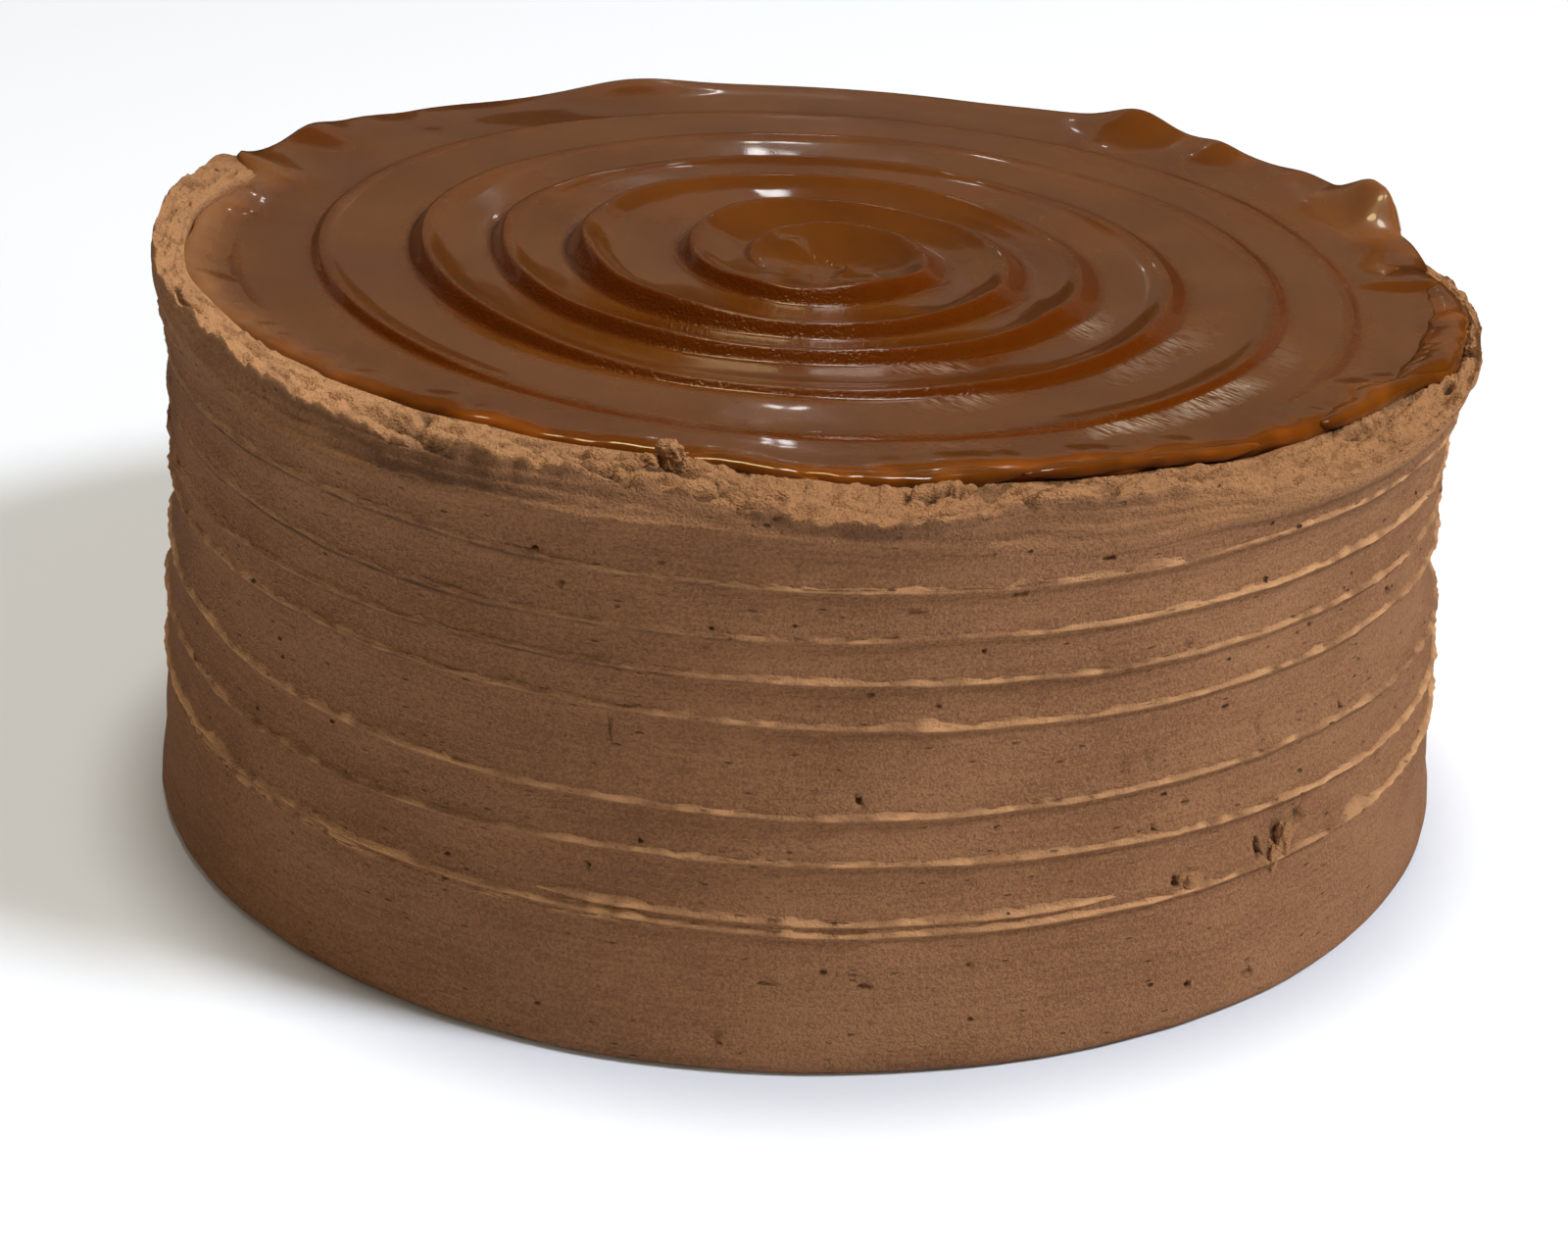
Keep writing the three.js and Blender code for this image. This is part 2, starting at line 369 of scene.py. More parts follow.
    def film_lift(self, angle: Numbers, radius: Numbers) -> Numbers:
        """How far the caramel that is smeared over the lip is drawn up or down to it.

        Args:
            angle: Angles about the middle of the swirl.
            radius: Distances from the middle of the swirl.

        Returns:
            Heights above the top plane.
        """
        reach, own = self.lip_reach(angle, self.film_relief)
        film = at_angle(self.film, angle)
        inward = reach - radius
        line = self.lip_line(own) - self.top_points(angle, reach, 0.0 * reach)[..., 2]
        flap = at_angle(self.flap, own)
        peak = (self.lip_height(own) - self.lip_line(own) - flap) * self.peak_cover
        lift = line * np.clip(1.0 - inward / self.film_reach, 0.0, 1.0) ** 1.5
        lift = lift + peak * np.clip(1.0 - inward / self.peak_reach, 0.0, 1.0) ** 1.5
        mound = 0.5 + 0.5 * np.cos(np.pi * np.clip(inward / self.flap_reach, 0.0, 1.0))
        return film * (lift + flap * mound)

    def from_swirl(self, points: Numbers) -> tuple[Numbers, Numbers]:
        """Angles and distances of points about the middle of the swirl."""
        x, y = points[..., 0] - self.top_centre[0], points[..., 1] - self.top_centre[1]
        return np.degrees(np.arctan2(y, x)), np.hypot(x, y)

    def line_height(self, turns: Numbers) -> Numbers:
        """Height of the spatula's smear line after some turns of its helix.

        Args:
            turns: Turns of the helix.

        Returns:
            The heights.
        """
        lines = np.array(self.lines)
        wobble = self.line_wobble * np.sin(2 * math.pi * self.line_wobbles * turns)
        height = np.interp(turns, np.arange(len(lines)), lines) + wobble
        return np.where(turns < 0, self.base_line, height)


def fresh_grid(name: str, columns: int, rows: int) -> bpy.types.Object:
    """Adds a grid that is shaped later.

    Args:
        name: Name of the piece.
        columns: Faces along the grid.
        rows: Faces across the grid.

    Returns:
        The new piece.
    """
    bpy.ops.object.select_all(action="DESELECT")
    bpy.ops.mesh.primitive_grid_add(x_subdivisions=columns, y_subdivisions=rows, size=2, calc_uvs=False)
    piece = bpy.context.object
    piece.name = name
    piece.data.name = name
    return piece


def read_points(piece: bpy.types.Object) -> Numbers:
    """Points of a piece's mesh in Blender's own unit.

    Args:
        piece: The piece.

    Returns:
        The points, one to a row.
    """
    points = np.empty(len(piece.data.vertices) * 3)
    piece.data.vertices.foreach_get("co", points)
    return points.reshape(-1, 3)


def write_points(piece: bpy.types.Object, points: Numbers) -> None:
    """Moves a piece's points to places in millimetres."""
    piece.data.vertices.foreach_set("co", (points * MM).astype(np.float32).ravel())
    piece.data.update()


def write_mark(piece: bpy.types.Object, mark: Mark, values: Numbers) -> None:
    """Keeps one value for each point of a piece, which its material reads by name."""
    kept = piece.data.attributes.new(mark.value, "FLOAT", "POINT")
    kept.data.foreach_set("value", values.astype(np.float32).ravel())


def grid_cells(piece: bpy.types.Object, columns: int, rows: int) -> tuple[Any, Any]:
    """Row and column number of each point of a fresh grid.

    Args:
        piece: The grid.
        columns: Faces along the grid.
        rows: Faces across the grid.

    Returns:
        Row numbers and column numbers.
    """
    points = read_points(piece)
    column = np.rint((points[:, 0] + 1.0) / 2.0 * columns).astype(int)
    row = np.rint((points[:, 1] + 1.0) / 2.0 * rows).astype(int)
    return row, column


def weld(piece: bpy.types.Object) -> None:
    """Merges the points of a piece that share a place, turns its faces out and shades it smooth.

    Args:
        piece: The piece.
    """
    bpy.ops.object.select_all(action="DESELECT")
    piece.select_set(True)
    bpy.context.view_layer.objects.active = piece
    bpy.ops.object.mode_set(mode="EDIT")
    bpy.ops.mesh.select_all(action="SELECT")
    bpy.ops.mesh.remove_doubles(threshold=WELD)
    bpy.ops.mesh.normals_make_consistent(inside=False)
    bpy.ops.object.mode_set(mode="OBJECT")
    bpy.ops.object.shade_smooth()


def join(pieces: list[bpy.types.Object], name: str) -> bpy.types.Object:
    """Joins pieces into one.

    Args:
        pieces: The pieces.
        name: Name of the joined piece.

    Returns:
        The joined piece.
    """
    bpy.ops.object.select_all(action="DESELECT")
    for piece in pieces:
        piece.select_set(True)
    bpy.context.view_layer.objects.active = pieces[0]
    bpy.ops.object.join()
    pieces[0].name = name
    pieces[0].data.name = name
    return pieces[0]


def refine(piece: bpy.types.Object, chosen: npt.NDArray[np.bool_], cuts: int) -> None:
    """Splits the faces of a piece whose points are all chosen.

    Args:
        piece: The piece.
        chosen: Whether each of its points is chosen.
        cuts: Cuts along each edge.
    """
    bpy.ops.object.select_all(action="DESELECT")
    piece.select_set(True)
    bpy.context.view_layer.objects.active = piece
    bpy.ops.object.mode_set(mode="EDIT")
    bpy.ops.mesh.select_mode(type="VERT")
    bpy.ops.mesh.select_all(action="DESELECT")
    bpy.ops.object.mode_set(mode="OBJECT")
    piece.data.vertices.foreach_set("select", chosen)
    bpy.ops.object.mode_set(mode="EDIT")
    bpy.ops.mesh.subdivide(number_cuts=cuts)
    bpy.ops.object.mode_set(mode="OBJECT")


def fit(piece: bpy.types.Object, material: bpy.types.Material, slot: Slot, *nodes: str) -> None:
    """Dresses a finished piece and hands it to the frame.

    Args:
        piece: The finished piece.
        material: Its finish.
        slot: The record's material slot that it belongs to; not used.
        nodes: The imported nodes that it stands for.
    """
    piece.data.materials.clear()
    piece.data.materials.append(material)
    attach(piece, BODY)
    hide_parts(*nodes)
    triangles = sum(len(face.vertices) - 2 for face in piece.data.polygons)
    LOG.info("%s: %d triangles", piece.name, triangles)


class Value:
    """A socket of a material whose sums and products become Math nodes."""

    def __init__(self, sheet: "Sheet", socket: bpy.types.NodeSocket) -> None:
        """Wraps a socket.

        Args:
            sheet: The material's sheet of nodes.
            socket: The output socket that holds the value.
        """
        self.sheet = sheet
        self.socket = socket

    def _math(self, operation: str, first: Any, second: Any) -> "Value":
        """One Math node on two values."""
        node = self.sheet.add("ShaderNodeMath", {"operation": operation}, {0: first, 1: second})
        return Value(self.sheet, node.outputs[0])

    def __add__(self, other: Any) -> "Value":
        """Sum."""
        return self._math("ADD", self, other)

    def __radd__(self, other: Any) -> "Value":
        """Sum with a number first."""
        return self._math("ADD", other, self)

    def __sub__(self, other: Any) -> "Value":
        """Difference."""
        return self._math("SUBTRACT", self, other)

    def __rsub__(self, other: Any) -> "Value":
        """Difference from a number."""
        return self._math("SUBTRACT", other, self)

    def __mul__(self, other: Any) -> "Value":
        """Product."""
        return self._math("MULTIPLY", self, other)

    def at_most(self, other: Any) -> "Value":
        """The smaller of two values."""
        return self._math("MINIMUM", self, other)

    def at_least(self, other: Any) -> "Value":
        """The larger of two values."""
        return self._math("MAXIMUM", self, other)

    def ramp(self, low: float, high: float) -> "Value":
        """Soft change from 0 to 1 between two levels of this value.

        Args:
            low: Level where the change starts.
            high: Level where the change ends.

        Returns:
            The share of the change.
        """
        node = self.sheet.add(
            "ShaderNodeMapRange",
            {"interpolation_type": "SMOOTHSTEP"},
            {"Value": self, "From Min": low, "From Max": high, "To Min": 0.0, "To Max": 1.0},
        )
        return Value(self.sheet, node.outputs["Result"])


class Sheet:
    """The nodes of one new material."""

    def __init__(self, name: str) -> None:
        """Makes the material.

        Args:
            name: The material's name.
        """
        self.material = bpy.data.materials.new(name)
        self.material.use_nodes = True
        self.tree = self.material.node_tree
        self.shader = self.tree.nodes["Principled BSDF"]

    def add(self, kind: str, settings: dict[str, Any], sockets: dict[Any, Any]) -> bpy.types.Node:
        """Adds a node.

        Args:
            kind: The node's type.
            settings: Its settings, which are set before its sockets.
            sockets: Values or links for its input sockets, by name or number.

        Returns:
            The new node.
        """
        node = self.tree.nodes.new(kind)
        for key, value in settings.items():
            setattr(node, key, value)
        for key, value in sockets.items():
            self.feed(node.inputs[key], value)
        return node

    def feed(self, socket: bpy.types.NodeSocket, value: Any) -> None:
        """Links a wrapped value to a socket, or sets a plain one on it.

        Args:
            socket: The input socket.
            value: The wrapped or plain value.
        """
        if isinstance(value, Value):
            self.tree.links.new(value.socket, socket)
        else:
            socket.default_value = value

    def places(self, scale: Span, turn: float = 0.0) -> Value:
        """Object coordinates, turned about +Z and scaled so that one unit is one bump of a pattern.

        Args:
            scale: Bumps to a metre along x, y and z.
            turn: Degrees of the turn.

        Returns:
            The places.
        """
        coordinates = self.add("ShaderNodeTexCoord", {}, {})
        place = Value(self, coordinates.outputs["Object"])
        if turn:
            sockets = {"Vector": place, "Angle": math.radians(turn)}
            turned = self.add("ShaderNodeVectorRotate", {"rotation_type": "Z_AXIS"}, sockets)
            place = Value(self, turned.outputs["Vector"])
        mapping = self.add("ShaderNodeMapping", {}, {"Vector": place, "Scale": scale})
        return Value(self, mapping.outputs["Vector"])

    def noise(self, size: Span, detail: float, roughness: float = 0.55, turn: float = 0.0) -> Value:
        """Noise around 0.5.

        Args:
            size: Width of one bump along x, y and z in millimetres.
            detail: Layers of finer noise.
            roughness: Weight of the finer layers.
            turn: Degrees that the pattern is turned about +Z.

        Returns:
            The noise.
        """
        scale = tuple(1.0 / (width * MM) for width in size)
        settings = {"noise_dimensions": "3D", "normalize": True}
        sockets = {"Vector": self.places(scale, turn), "Scale": 1.0}
        sockets.update({"Detail": detail, "Roughness": roughness})
        node = self.add("ShaderNodeTexNoise", settings, sockets)
        return Value(self, node.outputs["Fac"])

    def pushed(self, places: Value, push: float) -> Value:
        """Places that noise pushes about by a share of a bump.

        Args:
            places: The places.
            push: The share of a bump.

        Returns:
            The pushed places.
        """
        settings = {"noise_dimensions": "3D", "normalize": True}
        noise = self.add("ShaderNodeTexNoise", settings, {"Vector": places, "Scale": 1.7, "Detail": 1.0})
        sockets = {0: Value(self, noise.outputs["Color"]), 1: (push, push, push), 2: places}
        node = self.add("ShaderNodeVectorMath", {"operation": "MULTIPLY_ADD"}, sockets)
        return Value(self, node.outputs["Vector"])

    def cells(self, size: Span, push: float) -> tuple[Value, Value]:
        """Scattered cells with uneven outlines.

        Args:
            size: Width of one cell along x, y and z in millimetres.
            push: How far noise pushes the outlines about, as a share of a cell.

        Returns:
            The distance to the nearest cell's middle, and a level of that cell's own.
        """
        scale = tuple(1.0 / (width * MM) for width in size)
        sockets = {"Vector": self.pushed(self.places(scale), push), "Scale": 1.0, "Randomness": 1.0}
        node = self.add("ShaderNodeTexVoronoi", {"voronoi_dimensions": "3D", "feature": "F1"}, sockets)
        parts = self.add("ShaderNodeSeparateColor", {}, {"Color": Value(self, node.outputs["Color"])})
        return Value(self, node.outputs["Distance"]), Value(self, parts.outputs["Red"])

    def mark(self, mark: Mark) -> Value:
        """A value that the mesh keeps at its points."""
        node = self.add("ShaderNodeAttribute", {"attribute_name": mark.value}, {})
        return Value(self, node.outputs["Fac"])

    def mix(self, share: Value, low: Any, high: Any) -> Value:
        """Mix of two colours.

        Args:
            share: Share of the second colour.
            low: First colour.
            high: Second colour.

        Returns:
            The mixed colour.
        """
        node = self.add("ShaderNodeMix", {"data_type": "RGBA"}, {"Factor": share})
        inputs = [socket for socket in node.inputs if socket.type == "RGBA"]
        self.feed(inputs[0], low)
        self.feed(inputs[1], high)
        output = next(socket for socket in node.outputs if socket.type == "RGBA")
        return Value(self, output)

    def bump(self, height: Value, depth: float) -> Value:
        """Normal of a relief.

        Args:
            height: Height of the relief, where 1 is the full depth.
            depth: Depth of the relief in millimetres.

        Returns:
            The normal.
        """
        sockets = {"Strength": 1.0, "Distance": depth * MM, "Height": height}
        node = self.add("ShaderNodeBump", {}, sockets)
        return Value(self, node.outputs["Normal"])

    def finish(self, linked: dict[str, Value], fixed: dict[str, Any]) -> bpy.types.Material:
        """Feeds the shader.

        Args:
            linked: What changes over the surface, by socket.
            fixed: What is the same all over, by socket.

        Returns:
            The finished material.
        """
        for key, value in {**linked, **fixed}.items():
            self.feed(self.shader.inputs[key], value)
        return self.material


@dataclass(frozen=True)
class FrostingFinish:
    """Whipped chocolate frosting: matte, fine-grained, pitted, and paler where it is torn, with painted
    shade in its pits, holes, cracks and grooves and on the lip's shoulder, and a painted highlight on the
    spatula's burrs.
    """

    name: str = "chocolate_frosting"
    dark: Colour = (0.178, 0.0760, 0.0320, 1.0)
    light: Colour = (0.312, 0.1480, 0.0680, 1.0)
    torn: Colour = (0.362, 0.1700, 0.0695, 1.0)
    shade: Colour = (0.225, 0.1000, 0.0400, 1.0)
    # Paler colour of the burrs, which also paints their highlight.
    edge: Colour = (0.560, 0.2850, 0.1230, 1.0)
    # Colour of the painted shade in pits, holes, cracks and grooves.
    pit: Colour = (0.035, 0.0140, 0.0070, 1.0)
    roughness: float = 0.80
    patch_size: Span = (34, 34, 14)
    streak_size: Span = (8, 8, 0.7)
    grain_size: Span = (0.8, 0.8, 0.6)
    speckle_size: Span = (0.42, 0.42, 0.36)
    pit_size: Span = (4.6, 4.6, 2.4)
    dash_size: Span = (3.2, 3.2, 0.9)
    relief_depth: float = 0.6

    def material(self) -> bpy.types.Material:
        """Makes the material.

        Returns:
            The finished material.
        """
        sheet = Sheet(self.name)
        torn = sheet.mark(Mark.TORN)
        burr = sheet.mark(Mark.PALE_AND_HIGHLIGHT)
        hollow = sheet.mark(Mark.PAINTED_SHADE)
        patches = sheet.noise(self.patch_size, 2)
        streaks = sheet.noise(self.streak_size, 2)
        grain = sheet.noise(self.grain_size, 3, 0.75)
        speckle = sheet.noise(self.speckle_size, 1)
        distance, level = sheet.cells(self.pit_size, 0.35)
        pit = (1.0 - distance.ramp(0.07, 0.16)) * level.ramp(0.90, 0.94)
        dash_distance, dash_level = sheet.cells(self.dash_size, 0.3)
        dash = (1.0 - dash_distance.ramp(0.08, 0.26)) * dash_level.ramp(0.72, 0.95) * (1.0 - torn)
        tone = patches * 0.7 + streaks * 0.45 + grain * 1.1 + speckle * 0.9
        colour = sheet.mix(tone.ramp(1.15, 1.98), self.dark, self.light)
        ragged = (grain * 1.5 + speckle * 0.9 - 0.35).at_most(1.0)
        pale = sheet.mix(ragged.ramp(0.35, 0.95), self.shade, self.torn)
        colour = sheet.mix(torn.at_most(1.0), colour, pale)
        # Paler burrs with a painted highlight on their lit tops.
        colour = sheet.mix(burr * (0.55 + grain * 0.9).at_most(1.0), colour, self.edge)
        # Painted shade in the shader's pits and dashes and wherever the mesh marks it.
        colour = sheet.mix((pit * 0.85).at_least(hollow).at_least(dash * 0.6), colour, self.pit)
        relief = grain * (0.8 + torn * 0.3) + speckle * (0.4 + torn * 0.4) + streaks * 0.10 * (1.0 - torn)
        relief = relief - pit * 1.2 - dash * 0.45
        return sheet.finish(
            {
                "Base Color": colour,
                "Roughness": self.roughness + (grain - 0.5) * 0.2,
                "Normal": sheet.bump(relief, self.relief_depth),
            },
            {"Specular IOR Level": 0.2, "IOR": 1.45},
        )


@dataclass(frozen=True)
class CaramelFinish:
    """Soft caramel: deep amber brown, glossy, and clearer where it is thin, with painted shade on the
    swirl's steep faces and a painted sheen of pale streaks on wrinkled lands.
    """

    name: str = "soft_caramel"
    deep: Colour = (0.094, 0.0225, 0.0018, 1.0)
    warm: Colour = (0.119, 0.0325, 0.0027, 1.0)
    # Painted shade: darker, redder colour of the swirl's steep faces.
    face: Colour = (0.084, 0.0150, 0.0007, 1.0)
    thin: Colour = (0.340, 0.0820, 0.0050, 1.0)
    film: Colour = (0.250, 0.1000, 0.0330, 1.0)
    # Colour of the painted sheen: pale streaks on the wrinkled lands.
    painted_sheen: Colour = (0.480, 0.3600, 0.2400, 1.0)
    roughness: float = 0.15
    coat: float = 0.45
    coat_roughness: float = 0.04
    glow: float = 0.35
    glow_reach: Span = (1.0, 0.35, 0.08)
    glow_depth: float = 3.0
    cloud_size: Span = (24, 24, 24)
    ripple_size: Span = (9, 9, 9)
    patch_size: Span = (5, 5, 5)
    wrinkle_size: Span = (0.55, 4.0, 1.0)
    wrinkle_turn: float = -45.0
    grit_size: Span = (0.55, 0.55, 0.55)
    relief_depth: float = 0.5

    def material(self) -> bpy.types.Material:
        """Makes the material.

        Returns:
            The finished material.
        """
        sheet = Sheet(self.name)
        thin = sheet.mark(Mark.THIN)
        creased = sheet.mark(Mark.SHEEN)
        milky = sheet.mark(Mark.TORN)
        painted_sheen = sheet.mark(Mark.PAINTED_SHEEN)
        steep = sheet.mark(Mark.PAINTED_SHADE)
        clouds = sheet.noise(self.cloud_size, 3)
        ripples = sheet.noise(self.ripple_size, 1)
        patches = sheet.noise(self.patch_size, 2)
        wrinkles = sheet.noise(self.wrinkle_size, 2, turn=self.wrinkle_turn)
        grit = sheet.noise(self.grit_size, 2)
        colour = sheet.mix(clouds.ramp(0.3, 0.7), self.deep, self.warm)
        # Painted shade on the steep faces.
        colour = sheet.mix(steep, colour, self.face)
        colour = sheet.mix(thin * (0.35 + patches * 1.1).at_most(1.0), colour, self.thin)
        colour = sheet.mix((milky * (0.4 + patches * 1.2)).at_most(1.0), colour, self.film)
        # Painted sheen: pale streaks along the wrinkles, with a little more roughness.
        streaks = wrinkles.ramp(0.40, 0.60) * painted_sheen
        colour = sheet.mix(streaks * 0.6, colour, self.painted_sheen)
        relief = ripples * 0.14 + grit * creased * (0.2 + patches * 0.8)
        relief = relief + wrinkles * painted_sheen * 0.12 + grit * 0.006
        roughness = self.roughness + (clouds - 0.5) * 0.04 + milky * 0.3 + streaks * 0.2 + thin * 0.18
        normal = sheet.bump(relief, self.relief_depth)
        return sheet.finish(
            {
                "Base Color": colour,
                "Roughness": roughness,
                "Normal": normal,
            },
            {
                "IOR": 1.49,
                "Specular IOR Level": 0.32,
                "Coat Weight": self.coat,
                "Coat Roughness": self.coat_roughness,
                "Coat IOR": 1.49,
                "Subsurface Weight": self.glow,
                "Subsurface Radius": self.glow_reach,
                "Subsurface Scale": self.glow_depth * MM,
            },
        )


@dataclass(frozen=True)
class FloorFinish:
    """Plain pale floor."""

    name: str = "pale_floor"
    colour: Colour = (0.80, 0.80, 0.79, 1.0)
    roughness: float = 0.9

    def material(self) -> bpy.types.Material:
        """Makes the material.

        Returns:
            The finished material.
        """
        sheet = Sheet(self.name)
        fixed = {"Base Color": self.colour, "Roughness": self.roughness, "Specular IOR Level": 0.1}
        return sheet.finish({}, fixed)


@dataclass(frozen=True)
class AirHole:
    """A small hole that a burst air bubble leaves in the smoothed side."""

    angle: float
    height: float
    width: float
    tall: float
    depth: float


@dataclass(frozen=True)
class Waves:
    """Unevenness along the smear line: a level, and noises by size, length of a bump and layer."""

    level: float
    parts: tuple[Span, ...]


@dataclass
class FrostingWall:
    """The frosted cake below its torn lip: foot, smooth band and spatula bands."""

    form: CakeForm
    columns: int = 640
    foot_heights: tuple[float, ...] = (
        0.12, 0.45, 0.95, 1.6, 2.6, 4.2, 6, 8, 10, 12, 14, 16, 18, 20, 21.4, 22.4,
    )
    foot_round: float = 1.0
    rise_steps: tuple[float, ...] = (0.0, 0.5, 1.3)
    fall_steps: tuple[float, ...] = (1.1, 0.5, 0.14)
    middle_steps: int = 3
    tight_band: float = 5.0
    snap: float = 0.2
    turn_length: float = 672.0
    burr_by_turn: Stations = (
        (-1, 0.3), (-0.72, 0.3), (-0.6, 0.9), (0, 1.0), (4.6, 0.95), (4.92, 0.8), (5.1, 0.22),
        (5.5, 0.4), (5.68, 0.4), (5.84, 0.2), (5.96, 0.12), (6.2, 0.25), (7.5, 0.35), (10, 0.35),
    )
    proud: Stations = (
        (-180, 0.62), (-140, 0.5), (-95, 0.28), (-50, 0.5), (-15, 1.0), (20, 0.9), (90, 0.6),
        (180, 0.62),
    )
    proud_reach: float = 5.0
    scallop: Stations = ((-180, 0.35), (-95, 0.15), (-40, 0.4), (0, 0.75), (40, 0.5), (180, 0.35))
    hidden_depth: float = 5.2
    top_drop: float = 0.8
    inner_drop: float = 2.0
    inner_inset: float = 2.8
    bed_inset: float = 3.0
    full_band: float = 8.0
    shake: Waves = Waves(0.0, ((0.35, 26.0, 0.5), (0.16, 7.0, 1.5)))
    dent: float = 0.32
    dent_size: float = 38.0
    ripple: float = 0.14
    ripple_size: Span = (11.0, 11.0, 4.0)
    large_holes: tuple[AirHole, ...] = (
        AirHole(-85.2, 44.4, 0.9, 0.6, 1.6), AirHole(-77.2, 43.8, 2.6, 0.4, 0.9),
        AirHole(-89.4, 47.6, 0.5, 0.4, 0.8), AirHole(-102.2, 36.0, 0.5, 0.4, 0.8),
        AirHole(-106.4, 30.6, 0.5, 0.4, 0.8), AirHole(-92.0, 15.0, 2.0, 0.5, 0.5),
        AirHole(-87.6, 17.2, 0.7, 0.4, 0.7), AirHole(-95.8, 6.0, 1.0, 0.35, 0.5),
        AirHole(-84.2, 14.8, 1.5, 0.5, 0.7), AirHole(-80.2, 15.6, 1.1, 0.4, 0.4),
        AirHole(-76.2, 17.2, 1.0, 0.5, 0.5), AirHole(-70.6, 15.6, 0.9, 0.4, 0.4),
        AirHole(-105.0, 52.4, 0.5, 0.4, 0.6), AirHole(-109.0, 74.6, 0.8, 0.4, 0.6),
        AirHole(-84.6, 60.8, 0.8, 0.5, 0.5), AirHole(-79.2, 58.6, 0.6, 0.4, 0.5),
        AirHole(-81.4, 73.6, 1.9, 0.5, 0.4), AirHole(-73.2, 75.6, 1.5, 0.35, 0.5),
        AirHole(-75.8, 67.0, 0.4, 0.4, 0.8), AirHole(-66.0, 79.8, 1.1, 0.5, 1.0),
        AirHole(-63.0, 45.6, 1.4, 0.4, 0.4), AirHole(-60.6, 45.4, 1.3, 0.55, 0.5),
        AirHole(-57.2, 37.2, 1.1, 0.4, 0.6), AirHole(-60.4, 34.2, 0.8, 0.4, 0.7),
        AirHole(-57.6, 62.8, 1.1, 0.4, 0.5), AirHole(-49.4, 45.8, 0.5, 0.4, 0.9),
        AirHole(-41.2, 50.2, 0.7, 0.4, 0.6), AirHole(-38.2, 53.8, 0.8, 0.5, 0.7),
        AirHole(-58.0, 24.8, 0.7, 1.0, 1.3), AirHole(-54.0, 23.0, 0.9, 0.5, 0.7),
        AirHole(-49.0, 24.6, 0.8, 2.2, 1.3), AirHole(-43.8, 27.6, 1.6, 0.5, 0.9),
        AirHole(-56.6, 7.0, 0.9, 0.8, 1.4), AirHole(-50.2, 5.2, 1.5, 0.8, 0.6),
    )
    small_holes: int = 60
    small_heights: tuple[float, float] = (6.0, 80.0)
    small_width: tuple[float, float] = (0.45, 0.9)
    small_flatness: tuple[float, float] = (0.35, 0.8)
    small_depth: tuple[float, float] = (0.6, 0.5)
    hole_cuts: tuple[tuple[float, int], ...] = ((1.6, 2), (1.3, 1))
    hole_margin: float = 0.7
    hole_skin: float = 2.2
    hole_unevenness: float = 0.35
    hole_grain: float = 0.9
    hole_rim: float = 0.12
    hole_shade: float = 0.8
    seed: int = 5
    noise: LatticeNoise = field(default_factory=lambda: LatticeNoise(11))

    def along(self, turns: Numbers, length: float, layer: float) -> Numbers:
        """Noise along the helix of the smear line.

        Args:
            turns: Turns of the helix.
            length: Length of one bump.
            layer: Number that sets this noise apart from the others.

        Returns:
            The noise.
        """
        travel = (turns + 2.0) * self.turn_length / length
        places = [travel, np.full_like(travel, layer), np.zeros_like(travel)]
        return self.noise.smooth(np.stack(places, axis=-1))

    def waves(self, turns: Numbers, waves: Waves) -> Numbers:
        """Unevenness after some turns of the helix."""
        parts = (size * self.along(turns, length, layer) for size, length, layer in waves.parts)
        return sum(parts, waves.level)

    def line(self, turns: Numbers) -> Numbers:
        """Height of the smear line with its small unsteadiness."""
        return self.form.line_height(turns) + np.where(turns < 0, 0.0, self.waves(turns, self.shake))

    def ledge(self, angle: Numbers, rise: Numbers, gap: Numbers) -> Numbers:
        """How far a band stands out.

        Args:
            angle: Angles of the points.
            rise: Heights of the points above the smear line under the band.
            gap: Height of the band.

        Returns:
            Relief that is largest along the line and hollow further up.
        """
        proud = at_angle(self.proud, angle) * np.clip(gap / self.full_band, 0.3, 1.0)
        hollow = at_angle(self.scallop, angle) * np.clip(gap / self.full_band, 0.0, 1.0)
        share = np.clip(rise / np.maximum(gap, 0.01), 0.0, 1.0)
        proud = proud * (1.0 - smooth_step(0.0, self.proud_reach, rise))
        return proud - hollow * np.sin(np.pi * share) ** 0.9

    def helix_rows(self, angle: Numbers) -> tuple[Numbers, Numbers]:
        """Rows of the side from the base ring to the lip.

        Args:
            angle: Angle of each column.

        Returns:
            Heights and relief, each by row and column.
        """
        form = self.form
        front = (FRONT_ANGLE - SEAM_ANGLE) / 360.0
        share = np.arange(self.columns + 1) / self.columns
        top = form.wall_top(angle) - self.top_drop
        ring = self.ledge(angle, 0.0 * angle, self.full_band + 0.0 * angle)
        heights, reliefs = [], []
        for band in range(-1, len(form.lines) - 2):
            turns = band + front - share
            low, high = self.line(turns), self.line(turns + 1)
            gap = high - low
            squeeze = np.clip(gap / self.tight_band, 0.0, 1.0)
            up = [low + step * squeeze for step in self.rise_steps]
            down = [high - step * squeeze for step in self.fall_steps]
            middle_shares = [(k + 1) / (self.middle_steps + 1) for k in range(self.middle_steps)]
            middle = [blend(up[-1], down[0], part) for part in middle_shares]
            for height in up + middle + down:
                relief = self.ledge(angle, height - low, gap) * smooth_step(0.0, 5.0, top - height)
                over = height > top - self.snap
                under = height < form.base_line + self.snap
                heights.append(np.where(over, top, np.where(under, form.base_line, height)))
                reliefs.append(np.where(over, 0.0, np.where(under, ring, relief)))
        return np.array(heights), np.array(reliefs)

